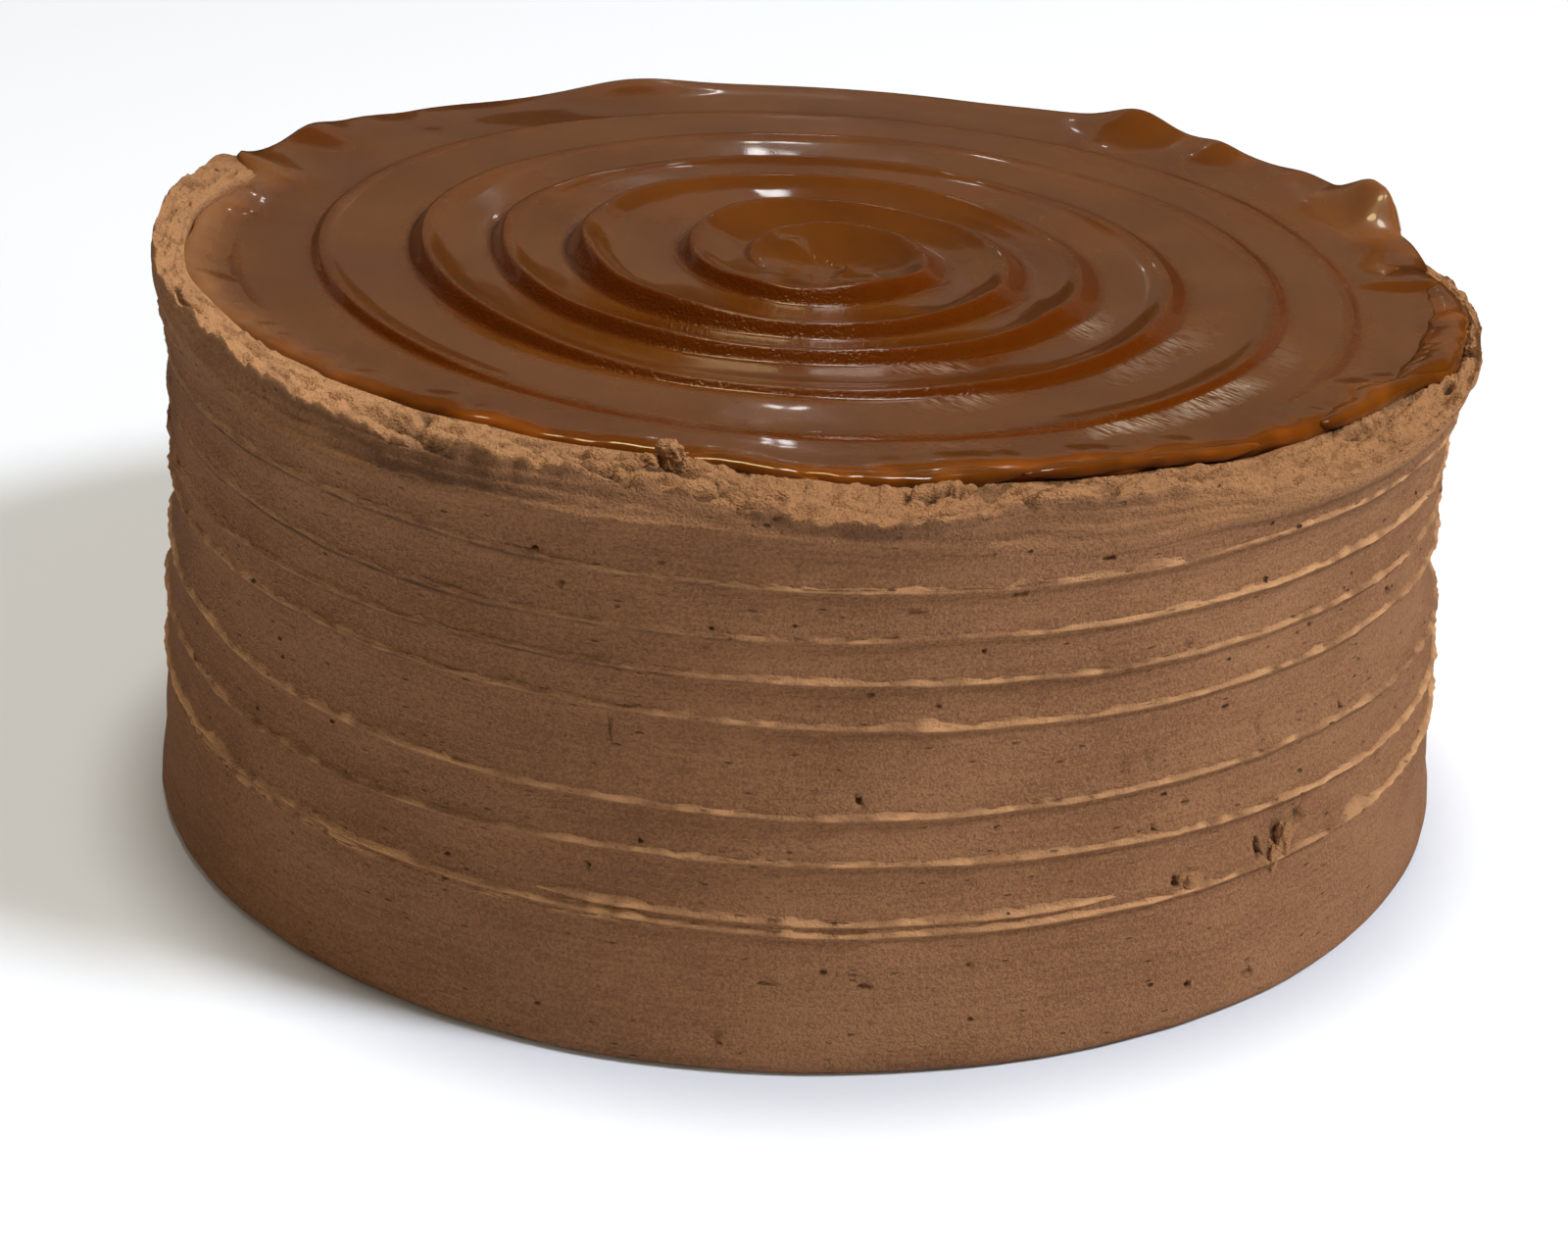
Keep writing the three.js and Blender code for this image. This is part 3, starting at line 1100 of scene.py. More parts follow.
    def foot_rows(self, angle: Numbers) -> tuple[Numbers, Numbers]:
        """Rows of the smooth band from the floor to the base ring.

        Args:
            angle: Angle of each column.

        Returns:
            Heights and relief, each by row and column.
        """
        heights, reliefs = [], []
        for height in self.foot_heights:
            edge = np.clip(1.0 - height / self.foot_round, 0.0, 1.0)
            heights.append(np.full_like(angle, height))
            reliefs.append(np.full_like(angle, -self.foot_round * (1.0 - math.sqrt(1.0 - edge * edge))))
        return np.array(heights), np.array(reliefs)

    def unevenness(self, places: Numbers) -> Numbers:
        """Soft dents of the hand-smoothed side."""
        broad = self.dent * self.noise.rough(places / self.dent_size, 2)
        return broad + self.ripple * self.noise.rough(places / np.array(self.ripple_size) + 40.0, 2)

    def build(self) -> bpy.types.Object:
        """Makes the wall as one closed mesh.

        Returns:
            The finished piece.
        """
        form = self.form
        angle = SEAM_ANGLE + 360.0 * (np.arange(self.columns + 1) % self.columns) / self.columns
        parts = zip(self.foot_rows(angle), self.helix_rows(angle))
        height, relief = (np.concatenate(pair) for pair in parts)
        around = np.broadcast_to(angle, height.shape)
        relief = relief + self.unevenness(form.side_points(around, height))
        side = form.side_points(around, height, relief)
        flat = np.zeros_like(angle)
        foot_edge = form.side_points(angle, flat, -self.foot_round)
        inner_top = form.wall_top(angle) - self.top_drop - self.inner_drop
        inside = form.side_points(angle, inner_top, -self.inner_inset)
        bed_radius = at_angle(form.edge, angle) - self.bed_inset
        bed = form.top_points(angle, bed_radius, flat - self.hidden_depth)
        pole = form.top_points(angle, flat, flat - self.hidden_depth)
        points = np.array([foot_edge * 0.0, foot_edge * 0.5, foot_edge, *side, inside, bed, pole])
        rows = len(points) - 1
        piece = fresh_grid("frosting_wall", self.columns, rows)
        row, column = grid_cells(piece, self.columns, rows)
        write_points(piece, points[row, column])
        weld(piece)
        self.pierce(piece)
        return piece

    def holes(self) -> list[AirHole]:
        """The large holes where they show, and small ones scattered all round.

        Returns:
            All the holes.
        """
        draw = np.random.default_rng(self.seed)
        holes = list(self.large_holes)
        for _ in range(self.small_holes):
            angle = draw.uniform(-180.0, 180.0)
            height = draw.uniform(*self.small_heights)
            width = self.small_width[0] + self.small_width[1] * draw.random() ** 3
            tall = width * draw.uniform(*self.small_flatness)
            depth = self.small_depth[0] + self.small_depth[1] * width
            holes.append(AirHole(angle, height, width, tall, depth))
        return holes

    def pierce(self, piece: bpy.types.Object) -> None:
        """Sinks the air holes into the side and paints shade into them, most in their upper parts.

        Args:
            piece: The wall.
        """
        holes = self.holes()
        for reach, cuts in self.hole_cuts:
            chosen = np.zeros(len(piece.data.vertices), dtype=bool)
            for _, apart, _ in self.near(piece, holes, reach):
                chosen |= apart < 1.0
            refine(piece, chosen, cuts)
        points = read_points(piece) / MM
        dark = np.zeros(len(points))
        turn = np.arctan2(points[:, 1], points[:, 0])
        away = np.stack([np.cos(turn), np.sin(turn), 0.0 * turn], axis=-1)
        uneven = self.hole_unevenness * self.noise.rough(points / self.hole_grain, 2)
        sunk = np.zeros(len(points))
        for hole, apart, up in self.near(piece, holes, 1.0):
            share = 1.0 - smooth_step(0.35, 1.05, apart + uneven * (apart < 1.6))
            rim = self.hole_rim * np.exp(-(((apart - 1.25) / 0.3) ** 2)) * (up < 0.0)
            sunk = np.maximum(sunk, hole.depth * share) - rim
            # Painted shade in each hole, most under its upper rim.
            shade = np.clip(hole.depth, 0.3, 1.0) * smooth_step(-0.9, 0.5, up / hole.tall)
            dark = np.maximum(dark, self.hole_shade * share * shade)
        write_points(piece, points - away * sunk[:, None])
        write_mark(piece, Mark.PAINTED_SHADE, dark)

    def near(
        self, piece: bpy.types.Object, holes: list[AirHole], reach: float
    ) -> list[tuple[AirHole, Numbers, Numbers]]:
        """How far the points of the side are from each hole.

        Args:
            piece: The wall.
            holes: The holes.
            reach: How much wider than the hole the measure is.

        Returns:
            Each hole, the points' distance from its middle where its rim is 1, and their height over it.
        """
        points = read_points(piece) / MM
        angle = np.degrees(np.arctan2(points[:, 1], points[:, 0]))
        radius = np.hypot(points[:, 0], points[:, 1])
        outside = radius > between(self.form.side, points[:, 2]) - self.hole_skin
        found = []
        for hole in holes:
            across = np.radians(wrapped(angle - hole.angle)) * radius
            up = points[:, 2] - hole.height
            grow = 0.0 if reach == 1.0 else self.hole_margin
            apart = np.hypot(across / (hole.width * reach + grow), up / (hole.tall * reach + grow))
            found.append((hole, np.where(outside, apart, 9.0), up))
        return found


@dataclass
class SmearBurr:
    """The ragged burr that the spatula's edge leaves along a stretch of its smear line."""

    wall: FrostingWall
    name: str
    first: float
    last: float
    lift: float = 0.0
    step: float = 0.52
    fade: float = 3.0
    taper: float = 0.03
    sunk: float = 1.6
    raggedness: float = 1.4
    clear: float = 1.4
    stand: Waves = Waves(0.6, ((0.36, 48.0, 2.5), (0.2, 8.0, 3.5)))
    stand_range: tuple[float, float] = (0.08, 1.1)
    stand_all: float = 0.85
    teeth: Waves = Waves(1.0, ((0.45, 2.1, 4.5),))
    reach: Waves = Waves(0.36, ((0.28, 5.0, 8.5), (0.24, 1.6, 9.5)))
    flake: float = 1.1
    # Unevenness of the burrs' painted highlight and of the painted shadow in their grooves.
    brightness: Waves = Waves(0.7, ((0.7, 2.6, 11.5), (0.5, 30.0, 12.5)))
    darkness: Waves = Waves(0.45, ((0.5, 4.0, 13.5), (0.4, 40.0, 14.5)))
    section: tuple[tuple[float, float, float, float, float], ...] = (
        (-0.95, 0.0, -0.9, 0.0, 0.0), (-0.80, 0.0, -0.04, 0.0, 0.02), (-0.42, 0.0, 0.02, 0.0, 0.06),
        (-0.20, 0.0, 0.02, 0.75, 0.12), (0.0, 0.0, 0.0, 1.0, 0.18), (0.20, 0.05, 0.0, 0.85, 0.2),
        (0.28, 0.35, 0.0, 0.5, 0.24), (0.28, 0.8, 0.0, 0.22, 0.3), (0.28, 1.3, -0.06, 0.0, 0.3),
        (0.28, 2.0, -0.7, 0.0, 0.0), (0.4, 1.0, -1.3, 0.0, 0.0),
    )
    # Share of the paler burr colour on each row of the section, most on the upper face, which also paints
    # a highlight where the top catches the light.
    pale_and_lit_rows: tuple[float, ...] = (0.0, 0.0, 0.1, 0.85, 1.0, 1.0, 0.9, 0.7, 0.35, 0.05, 0.0)
    # Painted shadow in the groove under each burr, by row.
    groove_shadows: tuple[float, ...] = (0.0, 0.45, 1.0, 0.55, 0.0, 0.0, 0.0, 0.0, 0.0, 0.0, 0.0)
    # Where the burrs lie in shade: their painted highlight is weaker and their grooves get painted
    # shadow.
    shaded: Stations = (
        (-180, 0.8), (-125, 1), (-105, 0.8), (-84, 0), (150, 0), (165, 0.6), (180, 0.8),
    )
    shaded_above: tuple[float, float] = (46.0, 64.0)
    broad: Stations = ((-180, 2.2), (-140, 2.0), (-112, 1.2), (-95, 1), (150, 1), (180, 2.2))

    def strength(self, turns: Numbers) -> Numbers:
        """How far the burr stands out.

        Args:
            turns: Turns of the helix.

        Returns:
            The relief.
        """
        wall = self.wall
        stand = np.clip(wall.waves(turns, self.stand), *self.stand_range)
        ragged = wall.waves(turns, self.teeth)
        return self.stand_all * stand * ragged * between(wall.burr_by_turn, turns)

    def width(self, turns: Numbers) -> Numbers:
        """How far up the burr reaches, with torn flakes here and there.

        Args:
            turns: Turns of the helix.

        Returns:
            The widths.
        """
        wall = self.wall
        flakes = smooth_step(0.45, 0.8, wall.along(turns, 11.0, 6.5))
        flakes = flakes * smooth_step(0.0, 0.4, wall.along(turns, 70.0, 7.5))
        return wall.waves(turns, self.reach) + self.flake * flakes

    def build(self) -> bpy.types.Object:
        """Makes the stretch of burr as one closed ribbon that is sunk into the side.

        Returns:
            The finished piece.
        """
        wall, form = self.wall, self.wall.form
        columns = round((self.last - self.first) * wall.turn_length / self.step)
        turns = np.linspace(self.first, self.last, columns + 1)
        angle = FRONT_ANGLE - 360.0 * turns
        line, gap = wall.line(turns) + self.lift, wall.line(turns + 1) - wall.line(turns)
        shaded = at_angle(self.shaded, angle) * smooth_step(*self.shaded_above, line)
        burr, width = self.strength(turns), self.width(turns) * at_angle(self.broad, angle)
        under_lip = form.wall_top(angle) - self.clear
        shown = smooth_step(0.0, self.fade, under_lip - line)
        line = np.minimum(line, under_lip)
        shown = shown * smooth_step(0.0, self.taper, turns - self.first)
        shown = shown * smooth_step(0.0, self.taper, self.last - turns)
        rows = []
        for number, (base_up, wide_up, base_out, burr_out, ragged) in enumerate(self.section):
            up = base_up + wide_up * width
            height = line + up
            relief = wall.ledge(angle, np.maximum(up, 0.0), np.maximum(gap, 3.0)) + base_out
            crumbs = wall.along(turns, 1.7, 20.5 + 2.0 * number)
            relief = relief + burr * burr_out + self.raggedness * ragged * crumbs
            relief = relief + wall.unevenness(form.side_points(angle, height))
            rows.append(form.side_points(angle, height, relief - self.sunk * (1.0 - shown)))
        points = np.array([*rows, rows[0]])
        points[:, 0] = points[:, 0].mean(axis=0)
        points[:, -1] = points[:, -1].mean(axis=0)
        piece = fresh_grid(self.name, columns, len(self.section))
        row, column = grid_cells(piece, columns, len(self.section))
        write_points(piece, points[row, column])
        pale_and_lit_rows = np.array([*self.pale_and_lit_rows, self.pale_and_lit_rows[0]])
        groove_shadows = np.array([*self.groove_shadows, self.groove_shadows[0]])
        # Painted highlight along the burr, dimmer where it lies in shade, and painted shadow in its
        # groove.
        bright = np.clip(wall.waves(turns, self.brightness), 0.1, 1.0) * blend(1.0, 0.25, shaded)
        dark = shaded * np.clip(wall.waves(turns, self.darkness), 0.0, 0.8)
        write_mark(piece, Mark.PALE_AND_HIGHLIGHT, pale_and_lit_rows[row] * bright[column])
        write_mark(piece, Mark.PAINTED_SHADE, groove_shadows[row] * dark[column])
        weld(piece)
        return piece


@dataclass(frozen=True)
class Gash:
    """A deep tear in the lip: its place round and in from the edge, half length, half width and depth."""

    angle: float
    inward: float
    length: float
    width: float
    depth: float


@dataclass
class TornLip:
    """The ring of torn frosting along the top edge, with a stepped shoulder outside."""

    form: CakeForm
    columns: int = 1240
    skirt_rows: int = 4
    shoulder_rows: int = 18
    shoulder_shade: Stations = (
        (-180, 0), (-165, 0.1), (-150, 0.2), (-120, 0.46), (-90, 0.42), (-66, 0.34), (-54, 0.12),
        (-40, 0), (180, 0),
    )
    torn_rows: int = 30
    hidden_rows: int = 8
    skirt: float = 1.6
    proud: float = 0.25
    film_clear: float = 0.9
    film_sink: float = 1.3
    inner_dip: float = 1.0
    ledges: float = 3.2
    ledge_depth: float = 0.8
    least_shoulder: float = 0.9
    relief_range: tuple[float, float] = (-3.2, 2.4)
    round_length: float = 107.0
    step_out: float = 1.3
    step_sharpness: float = 3.0
    crumble_out: float = 0.7
    ledge_wander: float = 2.4
    drag_out: float = 0.45
    crack_shade: float = 0.8
    inner_overlap: float = 0.2
    bed_overlap: float = 0.4
    hidden_way: Stations = ((1.2, -2.6), (0.2, -0.7))
    broken: Stations = (
        (-180, 0.35), (-150, 0.25), (-132, 0.4), (-122, 1.0), (-80, 1.0), (-68, 0.7), (-58, 0.6),
        (-46, 0.3), (-20, 0.25), (3, 0.25), (12, 0.02), (161, 0.02), (168, 0.3), (173, 0.35),
        (180, 0.5),
    )
    sandy: Stations = (
        (-180, 0.7), (-140, 0.9), (-100, 0.8), (-50, 1.0), (0, 1.0), (6, 0.9), (14, 0.12),
        (160, 0.12), (167, 0.7), (180, 0.7),
    )
    torn_side: Stations = (
        (-180, 0.2), (-140, 0.1), (-66, 0.1), (-52, 0.85), (-5, 1.0), (15, 0.5), (30, 0), (140, 0),
        (160, 0.5), (180, 0.2),
    )
    pale: Stations = (
        (-180, 0.25), (-165, 0.4), (-150, 0.5), (-135, 0.45), (-120, 0.25), (-105, 0), (-20, 0),
        (0, 0.15), (12, 0.15), (18, 0), (160, 0), (180, 0.25),
    )
    gashes: tuple[Gash, ...] = (
        Gash(-123.5, 2.2, 2.0, 0.9, 2.6), Gash(-120.8, 0.7, 3.6, 0.7, 2.4),
        Gash(-111.0, 5.2, 12.0, 0.45, 1.8), Gash(-64.0, 8.0, 4.2, 1.0, 2.6),
        Gash(-36.5, 9.6, 1.8, 0.8, 2.5), Gash(-34.0, 10.0, 2.2, 0.8, 2.2),
        Gash(-20.0, 4.0, 1.6, 0.7, 2.0), Gash(-12.0, 3.0, 2.0, 0.7, 2.0),
        Gash(-4.0, 2.4, 1.5, 0.8, 2.0), Gash(-115.5, 3.0, 8.0, 0.3, 1.6),
        Gash(-108.0, 8.2, 8.0, 0.3, 1.5), Gash(-104.0, 2.4, 6.0, 0.35, 1.5),
        Gash(-97.0, 6.0, 7.0, 0.35, 1.6), Gash(-92.5, 3.0, 6.0, 0.35, 1.5),
        Gash(-87.0, 6.4, 7.0, 0.3, 1.5), Gash(-80.0, 4.4, 6.0, 0.35, 1.5),
        Gash(-74.0, 2.2, 6.0, 0.3, 1.3), Gash(-55.0, 5.0, 6.0, 0.35, 1.2),
        Gash(172.0, 2.4, 2.6, 1.2, 3.0), Gash(-158.0, 1.2, 5.0, 0.5, 1.6),
    )
    noise: LatticeNoise = field(default_factory=lambda: LatticeNoise(23))

    def lattice(
        self, angle: Numbers, inward: Numbers, length: float, depth: float, layer: float
    ) -> Numbers:
        """Places for noise that runs round the lip without a seam.

        Args:
            angle: Angles of the points.
            inward: Distances of the points in from the lip's edge.
            length: Length of one bump along the lip.
            depth: Width of one bump across the lip.
            layer: Number that sets this noise apart from the others.

        Returns:
            Points for the noise.
        """
        turn = np.radians(angle)
        reach = self.round_length / length
        places = [reach * np.cos(turn), reach * np.sin(turn), inward / depth + layer]
        return np.stack(places, axis=-1) + 50.0

    def rough(
        self, angle: Numbers, inward: Numbers, size: tuple[float, float], layer: float, octaves: int
    ) -> Numbers:
        """Rough noise on the lip.

        Args:
            angle: Angles of the points.
            inward: Distances of the points in from the lip's edge.
            size: Length and width of one bump.
            layer: Number that sets this noise apart from the others.
            octaves: How many layers are added up.

        Returns:
            The noise at each point.
        """
        return self.noise.rough(self.lattice(angle, inward, *size, layer), octaves)

    def crags(self, angle: Numbers, inward: Numbers) -> tuple[Numbers, Numbers, Numbers]:
        """Torn surface: cracked lumps, gashes, drag lines, pits and crumb.

        Args:
            angle: Angles of the points.
            inward: Distances of the points in from the lip's edge.

        Returns:
            Heights above the smooth lip, how deep in a crack each point is, and the drag lines alone.
        """
        noise = self.noise
        broken = at_angle(self.broken, angle)
        sandy = at_angle(self.sandy, angle)
        push = 1.3 * self.rough(angle, inward, (7.0, 5.0), 0.0, 3)
        slide = 1.2 * self.rough(angle, inward, (9.0, 6.0), 10.0, 3)
        near, gap, level = noise.cells(self.lattice(angle + slide, inward + push, 14.0, 5.0, 40.0))
        opened = smooth_step(-0.3, 0.2, self.rough(angle, inward, (21.0, 9.0), 80.0, 2))
        crack = (1.0 - smooth_step(0.02, 0.17, gap)) * opened * broken
        dome = np.sqrt(np.clip(1.0 - (near / 0.95) ** 2, 0.0, 1.0))
        clod, seam, rise = noise.cells(self.lattice(angle - slide, inward - 0.6 * push, 6.6, 2.5, 60.0))
        clods = 0.5 * rise + 0.9 * (0.5 - clod) - 0.7 * (1.0 - smooth_step(0.02, 0.16, seam))
        body = self.rough(angle, inward, (16.0, 10.0), 20.0, 2)
        pit_places = self.lattice(angle, inward, 2.4, 1.9, 120.0) + 0.16 * push[..., None]
        pit, _, chance = noise.cells(pit_places)
        pits = (1.0 - smooth_step(0.10, 0.38, pit)) * (chance > 0.3)
        crumb = self.rough(angle, inward, (2.3, 1.8), 150.0, 3)
        drag = self.rough(angle, inward + 0.3 * push, (24.0, 1.4), 170.0, 2)
        coarse = 0.6 * body + level + 1.3 * (dome - 0.55) + 0.6 * clods + 0.4 * crumb - 1.8 * crack
        fine = 0.6 * body + 0.7 * crumb + 0.25 * clods - 0.9 * pits + 0.6 * drag
        relief = broken * coarse + sandy * (1.0 - 0.6 * broken) * fine
        # Painted shade in the sandy pits.
        crack = np.maximum(crack, 0.22 * sandy * pits)
        for gash in self.gashes:
            along = np.radians(wrapped(angle - gash.angle)) * self.round_length
            across = (inward + 0.6 * push - gash.inward) / gash.width
            torn = np.exp(-((along / gash.length) ** 4) - across**2)
            relief = relief - gash.depth * torn
            crack = np.maximum(crack, torn)
        return np.clip(relief, *self.relief_range), crack, drag

    def build(self) -> bpy.types.Object:
        """Makes the lip as one closed ring.

        Returns:
            The finished piece.
        """
        rows = self.skirt_rows + self.shoulder_rows + self.torn_rows + self.hidden_rows
        piece = fresh_grid("torn_lip", self.columns, rows)
        row, column = grid_cells(piece, self.columns, rows)
        angle = SEAM_ANGLE + 360.0 * (column % self.columns) / self.columns
        points, torn, crack = self.places(angle, row % rows)
        write_points(piece, points)
        write_mark(piece, Mark.TORN, torn)
        write_mark(piece, Mark.PALE_AND_HIGHLIGHT, torn * at_angle(self.pale, angle))
        # Painted shade in cracks, gashes and pits and on the shoulder below the torn edge.
        write_mark(piece, Mark.PAINTED_SHADE, self.crack_shade * crack)
        weld(piece)
        return piece

    def places(self, angle: Numbers, row: npt.NDArray[np.int64]) -> tuple[Numbers, Numbers, Numbers]:
        """Where the points of the ring go.

        Args:
            angle: Angle of each point.
            row: Number of each point round the ring's section, from the skirt up and in.

        Returns:
            The points, how torn the surface is there, and how much painted shade it gets in cracks,
            gashes and pits and on the shoulder below the torn edge.
        """
        form = self.form
        lip, wall_top = form.lip_height(angle), form.wall_top(angle)
        lip_angle, _ = form.from_swirl(form.side_points(angle, lip))
        lip = lip - self.film_sink * at_angle(form.film, lip_angle)
        broken = at_angle(self.broken, angle)
        steps = np.tanh(self.step_sharpness * self.rough(angle, 0 * angle, (17.0, 1.0), 200.0, 2))
        crumble = self.crumble_out * self.rough(angle, 0 * angle, (4.0, 1.0), 220.0, 3)
        ragged = self.step_out * steps + crumble
        shoulder = at_angle(form.shoulder, angle) + ragged * (0.15 + 0.85 * broken)
        shoulder = np.maximum(shoulder, self.least_shoulder)
        shoulder_row = row - self.skirt_rows
        torn_row = shoulder_row - self.shoulder_rows
        hidden_row = torn_row - self.torn_rows
        up_share = np.clip(row / self.skirt_rows, 0.0, 1.0)
        in_share = np.clip(shoulder_row / self.shoulder_rows, 0.0, 1.0)
        torn_share = np.clip(torn_row / self.torn_rows, 0.0, 1.0)
        wander = self.ledge_wander * self.rough(angle, 0 * angle, (34.0, 1.0), 240.0, 2)
        turns = 2.0 * math.pi * self.ledges
        swing = smooth_step(0.0, 0.15, in_share) * smooth_step(0.0, 0.15, 1.0 - in_share)
        stepped = smooth_step(-0.15, 0.45, self.rough(angle, 0 * angle, (45.0, 1.0), 260.0, 2))
        swing = swing * stepped
        stair = in_share + self.ledge_depth * swing * np.sin(turns * in_share + wander) / turns
        below = wall_top - self.skirt * (1.0 - up_share)
        height = np.where(shoulder_row > 0, blend(wall_top, lip, stair), below)
        outer = form.side_points(angle, height, self.proud - shoulder * in_share)
        rim = at_angle(form.bed_rim, angle) + at_angle(form.climb, angle)
        edge = at_angle(form.edge, angle)
        rim = rim + form.film_lift(angle, edge) - self.film_clear * at_angle(form.film, angle)
        inner = form.top_points(angle, edge + self.inner_overlap, rim)
        points = blend(outer, inner, torn_share[:, None])
        width = np.linalg.norm(outer[:, :2] - inner[:, :2], axis=1)
        inward = torn_share * width - (1.0 - in_share) * shoulder
        crags, crack, drag = self.crags(angle, inward)
        on_top = smooth_step(0.8, 1.0, in_share)
        crags = np.where(torn_share > 0.7, np.maximum(crags, -self.inner_dip), crags)
        crags = crags * smooth_step(0.0, 0.22, 1.0 - torn_share) * on_top
        turn = np.radians(angle)
        away = np.stack([np.cos(turn), np.sin(turn), 0 * turn], axis=-1)
        points[:, 2] += crags
        dragged = self.drag_out * drag * (1.0 - on_top) * smooth_step(0.0, 0.2, in_share)
        points += away * dragged[:, None]
        spot_angle, spot_radius = form.from_swirl(points)
        film_under = form.top(points[:, 0]) + form.film_lift(spot_angle, spot_radius) - self.film_clear
        covered = at_angle(form.film, spot_angle) * (torn_row >= 0)
        points[:, 2] = blend(points[:, 2], np.minimum(points[:, 2], film_under), covered)
        ways = [inner, form.top_points(angle, edge + self.bed_overlap, -form.caramel_depth + 0 * angle)]
        for drop, relief in self.hidden_way:
            ways.append(form.side_points(angle, wall_top - self.skirt - drop, relief))
        steps = np.clip(hidden_row / self.hidden_rows, 0.0, 1.0) * (len(ways) - 1)
        whole = np.clip(steps.astype(int), 0, len(ways) - 2)
        number = np.arange(len(angle))
        stacked = np.stack(ways)
        share = (steps - whole)[:, None]
        back = blend(stacked[whole, number], stacked[whole + 1, number], share)
        points = np.where((hidden_row > 0)[:, None], back, points)
        side_torn = at_angle(self.torn_side, angle) * up_share
        torn = blend(side_torn, 1.0, smooth_step(0.92, 1.0, in_share))
        torn = torn * smooth_step(0.1, 0.4, at_angle(self.sandy, angle)) * (hidden_row <= 0)
        shade = at_angle(self.shoulder_shade, angle) * np.clip(1.0 + 1.2 * drag, 0.3, 1.6)
        shade = shade * smooth_step(0.0, 0.3, in_share) * (1.0 - smooth_step(0.9, 0.98, in_share))
        crack = np.maximum(crack * smooth_step(0.6, 1.0, in_share), shade)
        return points, torn, crack * (hidden_row <= 0)


@dataclass
class CaramelPool:
    """The caramel: a stepped swirl with a rounded edge, smeared over the lip at the back."""

    form: CakeForm
    columns: int = 660
    pitch: float = 14.9
    front_phase: float = 0.3255
    turns: int = 9
    start_radius: float = 3.0
    first_turn: tuple[float, float] = (0.5, 0.75)
    hollow: float = 1.4
    bowl: Span = (4.0, -0.5, 9.0)
    curls: tuple[tuple[float, float, float, float], ...] = (
        (-4.5, 5.5, 1.1, 2.4), (-0.5, 1.5, 1.0, 2.0), (4.5, -3.2, 1.5, 2.0), (8.2, -5.6, 1.5, 2.2),
    )
    climb_reach: float = 12.0
    milky: Stations = (
        (-180, 1), (-160, 0.9), (-143, 0.35), (-130, 0), (14, 0), (19, 0.6), (25, 0.5), (32, 0),
        (158, 0), (167, 0.6), (180, 1),
    )
    milky_reach: float = 8.0
    depth: float = 4.2
    land_shares: tuple[float, ...] = (0.0, 0.09, 0.2, 0.36, 0.6, 0.85)
    fillet: Stations = ((-180, 0.05), (-100, 0.1), (-62, 0.28), (-35, 0.28), (-5, 0.06), (180, 0.05))
    bead_steps: tuple[float, ...] = (-1.0, -0.75, -0.5, -0.28, -0.1, 0.0)
    face_crease: float = 0.6
    face_clear: float = 0.08
    face_spread: Stations = (
        (-180, 1.35), (-150, 1.35), (-120, 1.1), (-60, 1), (-42, 1.1), (-15, 2.3), (45, 2.3),
        (72, 1), (135, 1), (180, 1.35),
    )
    amber: Stations = (
        (-180, 0.6), (-165, 1.2), (-150, 1.6), (-122, 1.4), (-104, 1.2), (-60, 1.2), (0, 1),
        (180, 0.6),
    )
    stroke: tuple[float, float, float, float] = (2.6, 99.5, 7.0, 1.0)
    face_steps: tuple[float, ...] = (0.07, 0.14, 0.3, 0.5, 0.7, 0.88, 1.05)
    face_shape: Stations = (
        (0, 1), (0.07, 0.98), (0.14, 0.93), (0.3, 0.75), (0.5, 0.5), (0.7, 0.25), (0.88, 0.06),
        (1.05, 0),
    )
    ridge: Stations = (
        (0, 1.6), (12, 2.2), (22, 2.8), (36, 3.2), (52, 2.6), (66, 1.9), (80, 1.0), (92, 0.35),
        (100, 0),
    )
    tall_side: Stations = (
        (-180, 1.25), (-150, 1.2), (-100, 0.7), (-40, 0.85), (0, 0.66), (45, 0.62), (75, 0.78),
        (150, 1), (180, 1.25),
    )
    calm: Stations = ((-180, 0), (25, 0), (60, 0.35), (125, 0.4), (160, 0), (180, 0))
    bead_drop: Stations = (
        (-180, 0.5), (-140, 0.6), (-115, 0.5), (-65, 0.5), (-45, 0.7), (-20, 0.7), (0, 0.5),
        (60, 0.45), (120, 0.45), (180, 0.5),
    )
    bead_width: float = 4.4
    drift: Stations = (
        (0.3, 2), (0.58, 3.1), (1.08, 1.3), (1.33, 0), (1.58, -1.8), (2.08, 0.4), (2.58, 1.3),
        (3.08, -2.5), (3.58, -0.6), (4.08, -2.4), (4.58, -2.4), (5.08, -0.3), (5.58, -0.4),
        (6.08, -2.2), (7, 0),
    )
    roll: tuple[tuple[float, float], ...] = (
        (2.0, -4.2), (0.6, -3.6), (0.0, -2.8), (-0.35, -2.0), (-0.4, -1.2), (-0.15, -0.55),
        (0.3, -0.1), (0.9, 0.2), (1.7, 0.36), (2.7, 0.38), (4.0, 0.3), (5.6, 0.16), (7.6, 0.06),
    )
    roll_clear: tuple[float, ...] = (
        0.0, 0.3, 0.5, 0.6, 0.6, 0.55, 0.45, 0.3, 0.15, 0.05, 0.0, 0.0, 0.0,
    )
    face_width: tuple[float, float] = (0.4, 0.5)
    brink_out: float = 4.0
    swell: float = 0.2
    swell_size: float = 26.0
    wrinkle_angle: float = -50.0
    wrinkle_spread: float = 24.0
    wrinkle_from: tuple[float, float] = (38.0, 50.0)
    wrinkle_end: float = 94.0
    wrinkle_fade: float = 12.0
    film_drop: float = 1.3
    film_thick: float = 0.35
    noise: LatticeNoise = field(default_factory=lambda: LatticeNoise(31))

